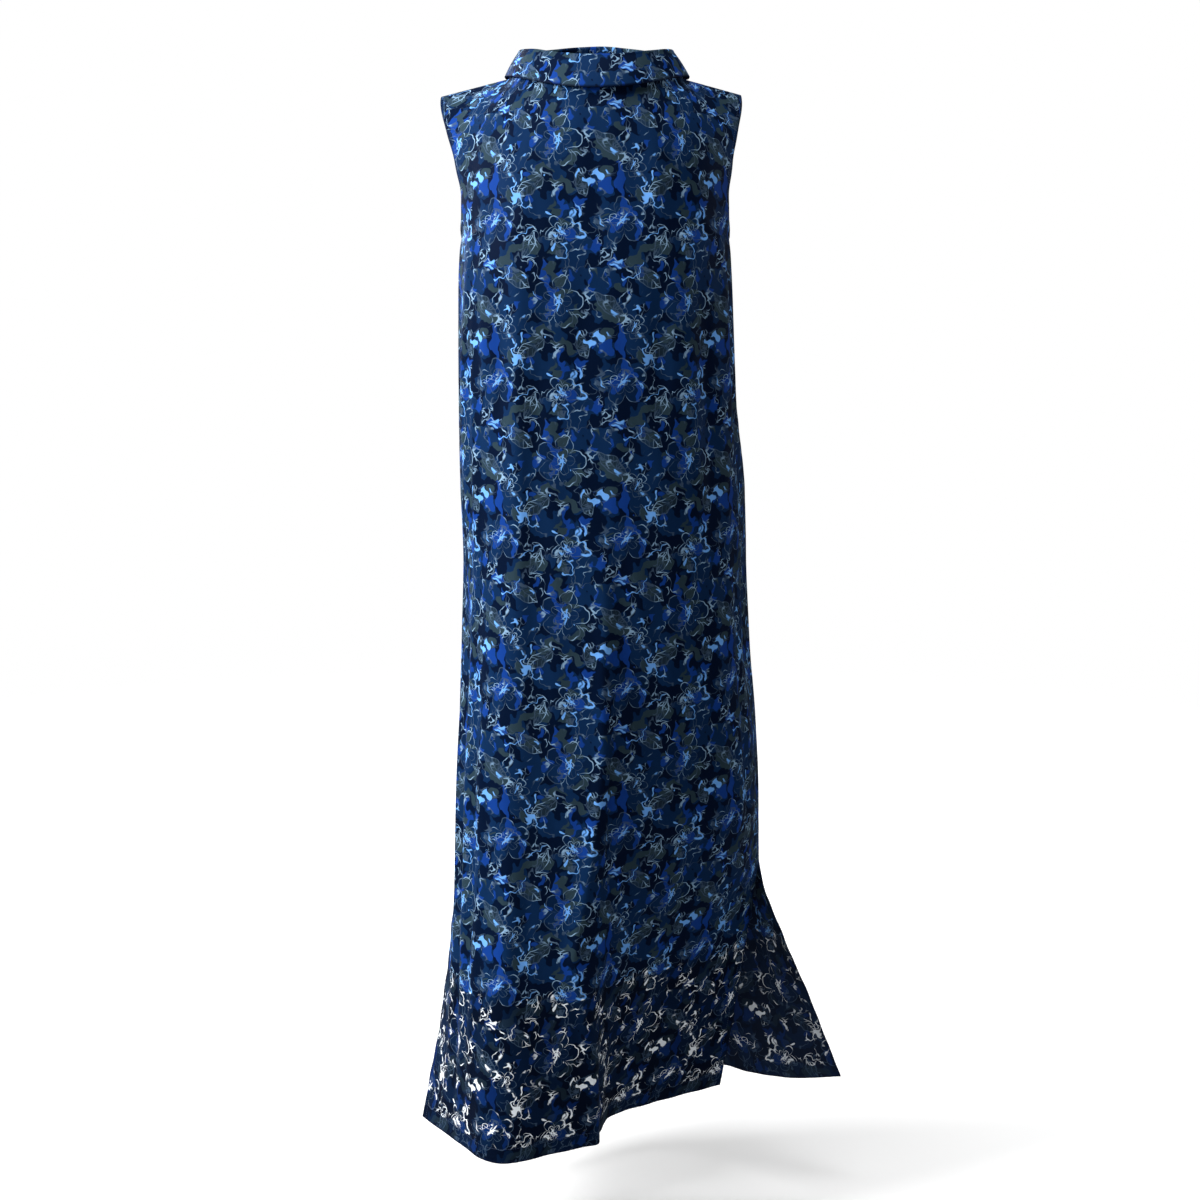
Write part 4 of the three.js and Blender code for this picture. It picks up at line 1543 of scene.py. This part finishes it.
@dataclass
class StitchRow:
    """Rows of machine stitches that follow lines on the cloth."""

    pitch: float = 3.0
    length: float = 2.2
    thickness: float = 0.42

    def tree(self) -> bpy.types.NodeTree:
        """Node tree that lays a stitch at every pitch along the lines.

        Returns:
            The tree, with named inputs for its sizes.
        """
        tree = bpy.data.node_groups.new("stitch_row", "GeometryNodeTree")
        face = tree.interface
        face.new_socket("Lines", in_out="INPUT", socket_type="NodeSocketGeometry")
        for label in ("Pitch", "Stitch Length", "Thread"):
            face.new_socket(label, in_out="INPUT", socket_type=FLOAT)
        face.new_socket("Finish", in_out="INPUT", socket_type="NodeSocketMaterial")
        face.new_socket("Stitches", in_out="OUTPUT", socket_type="NodeSocketGeometry")
        s = NodeSheet(tree)
        given = s.node("NodeGroupInput").outputs
        curve = s.node("GeometryNodeMeshToCurve", {"Mesh": given["Lines"]})
        inputs = {"Curve": curve.outputs[0], "Length": given["Pitch"]}
        spaced = s.node("GeometryNodeResampleCurve", inputs, mode="LENGTH")
        ball = s.node("GeometryNodeMeshUVSphere", {"Segments": 6, "Rings": 4, "Radius": 0.5})
        thread, long = given["Thread"], given["Stitch Length"]
        shape = s.node("ShaderNodeCombineXYZ", {0: thread, 1: thread, 2: long})
        inputs = {"Geometry": ball.outputs[0], "Scale": shape.outputs[0]}
        stitch = s.node("GeometryNodeTransform", inputs)
        tangent = {"Vector": s.node("GeometryNodeInputTangent").outputs[0]}
        turn = s.node("FunctionNodeAlignRotationToVector", tangent, axis="Z")
        inputs = {"Points": spaced.outputs[0], "Instance": stitch.outputs[0]}
        inputs["Rotation"] = turn.outputs[0]
        laid = s.node("GeometryNodeInstanceOnPoints", inputs)
        real = s.node("GeometryNodeRealizeInstances", {"Geometry": laid.outputs[0]})
        smoothed = s.node("GeometryNodeSetShadeSmooth", {"Geometry": real.outputs[0]})
        inputs = {"Geometry": smoothed.outputs[0], "Material": given["Finish"]}
        dressed = s.node("GeometryNodeSetMaterial", inputs)
        s.node("NodeGroupOutput", {0: dressed.outputs[0]})
        return tree

    def build(
        self,
        name: str,
        lines: list[np.ndarray],
        tree: bpy.types.NodeTree,
        finish: bpy.types.Material,
    ) -> bpy.types.Object:
        """Lays the stitches along the lines and turns them into a plain mesh.

        Args:
            name: The piece's name.
            lines: Points of each line, in millimetres.
            tree: The stitches' node tree.
            finish: The thread's material.

        Returns:
            The stitches' object.
        """
        edges, first = [], 0
        for line in lines:
            edges += [(first + i, first + i + 1) for i in range(len(line) - 1)]
            first += len(line)
        mesh = bpy.data.meshes.new(f"{name}_lines")
        mesh.from_pydata((np.concatenate(lines) * MM).tolist(), edges, [])
        guide = bpy.data.objects.new(f"{name}_lines", mesh)
        bpy.context.scene.collection.objects.link(guide)
        rows = guide.modifiers.new("stitches", "NODES")
        rows.node_group = tree
        values = {
            "Pitch": self.pitch * MM,
            "Stitch Length": self.length * MM,
            "Thread": self.thickness * MM,
            "Finish": finish,
        }
        for item in tree.interface.items_tree:
            if item.name in values and item.in_out == "INPUT":
                rows[item.identifier] = values[item.name]
        bpy.context.view_layer.update()
        ready = guide.evaluated_get(bpy.context.evaluated_depsgraph_get())
        made = bpy.data.objects.new(name, bpy.data.meshes.new_from_object(ready))
        bpy.context.scene.collection.objects.link(made)
        bpy.data.objects.remove(guide)
        return made


@dataclass(frozen=True)
class Lamp:
    """A square soft light: where it hangs, the point it faces, its side and its power in watts."""

    name: str
    at: Point
    aim: Point
    size: float
    power: float

    def hang(self) -> None:
        """Makes the light."""
        data = bpy.data.lights.new(self.name, "AREA")
        data.shape = "SQUARE"
        data.size = self.size
        data.energy = self.power
        made = bpy.data.objects.new(self.name, data)
        x, y, z = np.array(self.aim) - np.array(self.at)
        made.location = self.at
        made.rotation_euler = (math.atan2(math.hypot(x, y), -z), 0, math.atan2(y, x) - math.pi / 2)
        bpy.context.scene.collection.objects.link(made)


LAMPS = (
    Lamp("key", (-2.4, -0.75, 0.75), (0, 0, -0.5), 1.1, 148),
    Lamp("top", (-0.2, -0.75, 2.6), (0, 0, -0.4), 1.2, 72),
    Lamp("fill", (0.7, -3.1, -0.7), (0.05, 0, -1.0), 1.8, 17),
    Lamp("rear", (-1.9, 2.1, 0.8), (0, 0, -0.6), 1.2, 70),
    Lamp("side", (2.6, 0.9, 0.2), (0, 0, -0.6), 1.4, 16),
)


@dataclass
class Studio:
    """Camera, pale floor and soft light."""

    lens: float = 50.0
    sensor: float = 36.0
    camera_at: Point = (0.0048, -2.083, -0.300)
    pitch_down: float = 9.2
    floor_radius: float = 4.0
    floor_sides: int = 64
    floor_light: Rgba = (0.9, 0.9, 0.9, 1)
    floor_dark: Rgba = (0.86, 0.86, 0.86, 1)
    floor_bounce: Rgba = (0.3, 0.3, 0.3, 1)
    surround: float = 0.07

    def camera(self) -> None:
        """Makes the camera at the photograph's viewing angle."""
        data = bpy.data.cameras.new("camera")
        data.lens = self.lens
        data.sensor_width = self.sensor
        data.clip_end = 50.0
        made = bpy.data.objects.new("camera", data)
        made.location = self.camera_at
        made.rotation_euler = (math.radians(90 - self.pitch_down), 0, 0)
        bpy.context.scene.collection.objects.link(made)
        bpy.context.scene.camera = made

    def floor(self) -> None:
        """Makes the pale floor, which fades out into the white surround."""
        mesh = bpy.data.meshes.new("floor")
        turns = [2 * math.pi * i / self.floor_sides for i in range(self.floor_sides)]
        radius, level = self.floor_radius, FLOOR_Z * MM
        rim = [(radius * math.cos(turn), radius * math.sin(turn), level) for turn in turns]
        mesh.from_pydata(rim, [], [tuple(range(self.floor_sides))])
        made = bpy.data.objects.new("floor", mesh)
        bpy.context.scene.collection.objects.link(made)
        finish = bpy.data.materials.new("pale_floor")
        finish.use_nodes = True
        s = NodeSheet(finish.node_tree)
        place = s.node("ShaderNodeTexCoord").outputs["Object"]
        cloud = s.node("ShaderNodeTexNoise", {"Vector": place, "Scale": 1.5, "Detail": 2.0})
        pale = s.mix(cloud.outputs["Fac"], self.floor_dark, self.floor_light)
        seen = s.node("ShaderNodeLightPath").outputs["Is Camera Ray"]
        flat = s.node("ShaderNodeMapping", {"Vector": place, "Scale": (1.0, 1.0, 0.0)})
        length = s.node("ShaderNodeVectorMath", {0: flat.outputs[0]}, operation="LENGTH")
        away = length.outputs["Value"]
        glow = s.times(s.fused(s.step(away, 0.2, radius * 0.5), 0.55, 0.16), seen)
        shine = s.node("ShaderNodeCombineColor", {0: glow, 1: glow, 2: glow})
        shades = {
            "Base Color": s.mix(seen, self.floor_bounce, pale),
            "Alpha": s.fall(away, radius * 0.25, radius * 0.97),
            "Emission Color": shine.outputs[0],
            "Emission Strength": 1.0,
            "Roughness": 0.85,
        }
        s.fill(finish.node_tree.nodes["Principled BSDF"], shades)
        mesh.materials.append(finish)

    def light(self) -> None:
        """Hangs the soft lights and sets the surround: white where it is seen, dim as a light."""
        for lamp in LAMPS:
            lamp.hang()
        world = bpy.data.worlds.new("surround")
        world.use_nodes = True
        s = NodeSheet(world.node_tree)
        seen = s.node("ShaderNodeLightPath").outputs["Is Camera Ray"]
        strength = s.fused(seen, 1 - self.surround, self.surround)
        shade = world.node_tree.nodes["Background"]
        s.fill(shade, {"Color": (1.0, 1.0, 1.0, 1), "Strength": strength})
        bpy.context.scene.world = world
        bpy.context.scene.view_settings.view_transform = "Standard"


def sheet_area(piece: bpy.types.Object) -> float:
    """Area of a sheet of cloth: half of its closed mesh's surface, in square metres."""
    return sum(face.area for face in piece.data.polygons) / 2


def report(piece: bpy.types.Object) -> None:
    """Logs a finished piece."""
    faces = len(piece.data.polygons)
    LOG.info("%s: %d faces, %.4f square metres", piece.name, faces, sheet_area(piece))


def main() -> None:
    """Builds the dress piece by piece and reports each."""
    logging.basicConfig(level=logging.INFO, format="%(message)s")
    studio = Studio()
    studio.camera()

    cotton = PrintedCotton(FlowerPrint().group(), Weave().group())
    cloth = cotton.material("printed_cotton", Side.RIGHT)
    reverse = cotton.material("printed_cotton_wrong_side", Side.WRONG)
    thread = Thread().material("navy_thread")
    stitches = StitchRow()
    stitch_tree = stitches.tree()

    front = ClothPanel(Panel.FRONT, FRONT_PATTERN, seed=11)
    back = ClothPanel(Panel.BACK, BACK_PATTERN, seed=23, columns=124, print_shift=61.0)
    for panel in (front, back):
        name = panel.panel.value
        piece = panel.build()
        piece.data.materials.append(cloth)
        piece.data.materials.append(reverse)
        sewn = stitches.build(f"{name}_stitches", panel.stitch_lines(), stitch_tree, thread)
        for made in (piece, sewn):
            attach(made, "root")
        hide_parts(f"{name}_panel")
        report(piece)

    collar = FunnelCollar().build()
    collar.data.materials.append(cloth)
    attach(collar, "root")
    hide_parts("collar")
    report(collar)

    studio.floor()
    studio.light()
    LOG.info("sizes written")


if __name__ == "__main__":
    main()
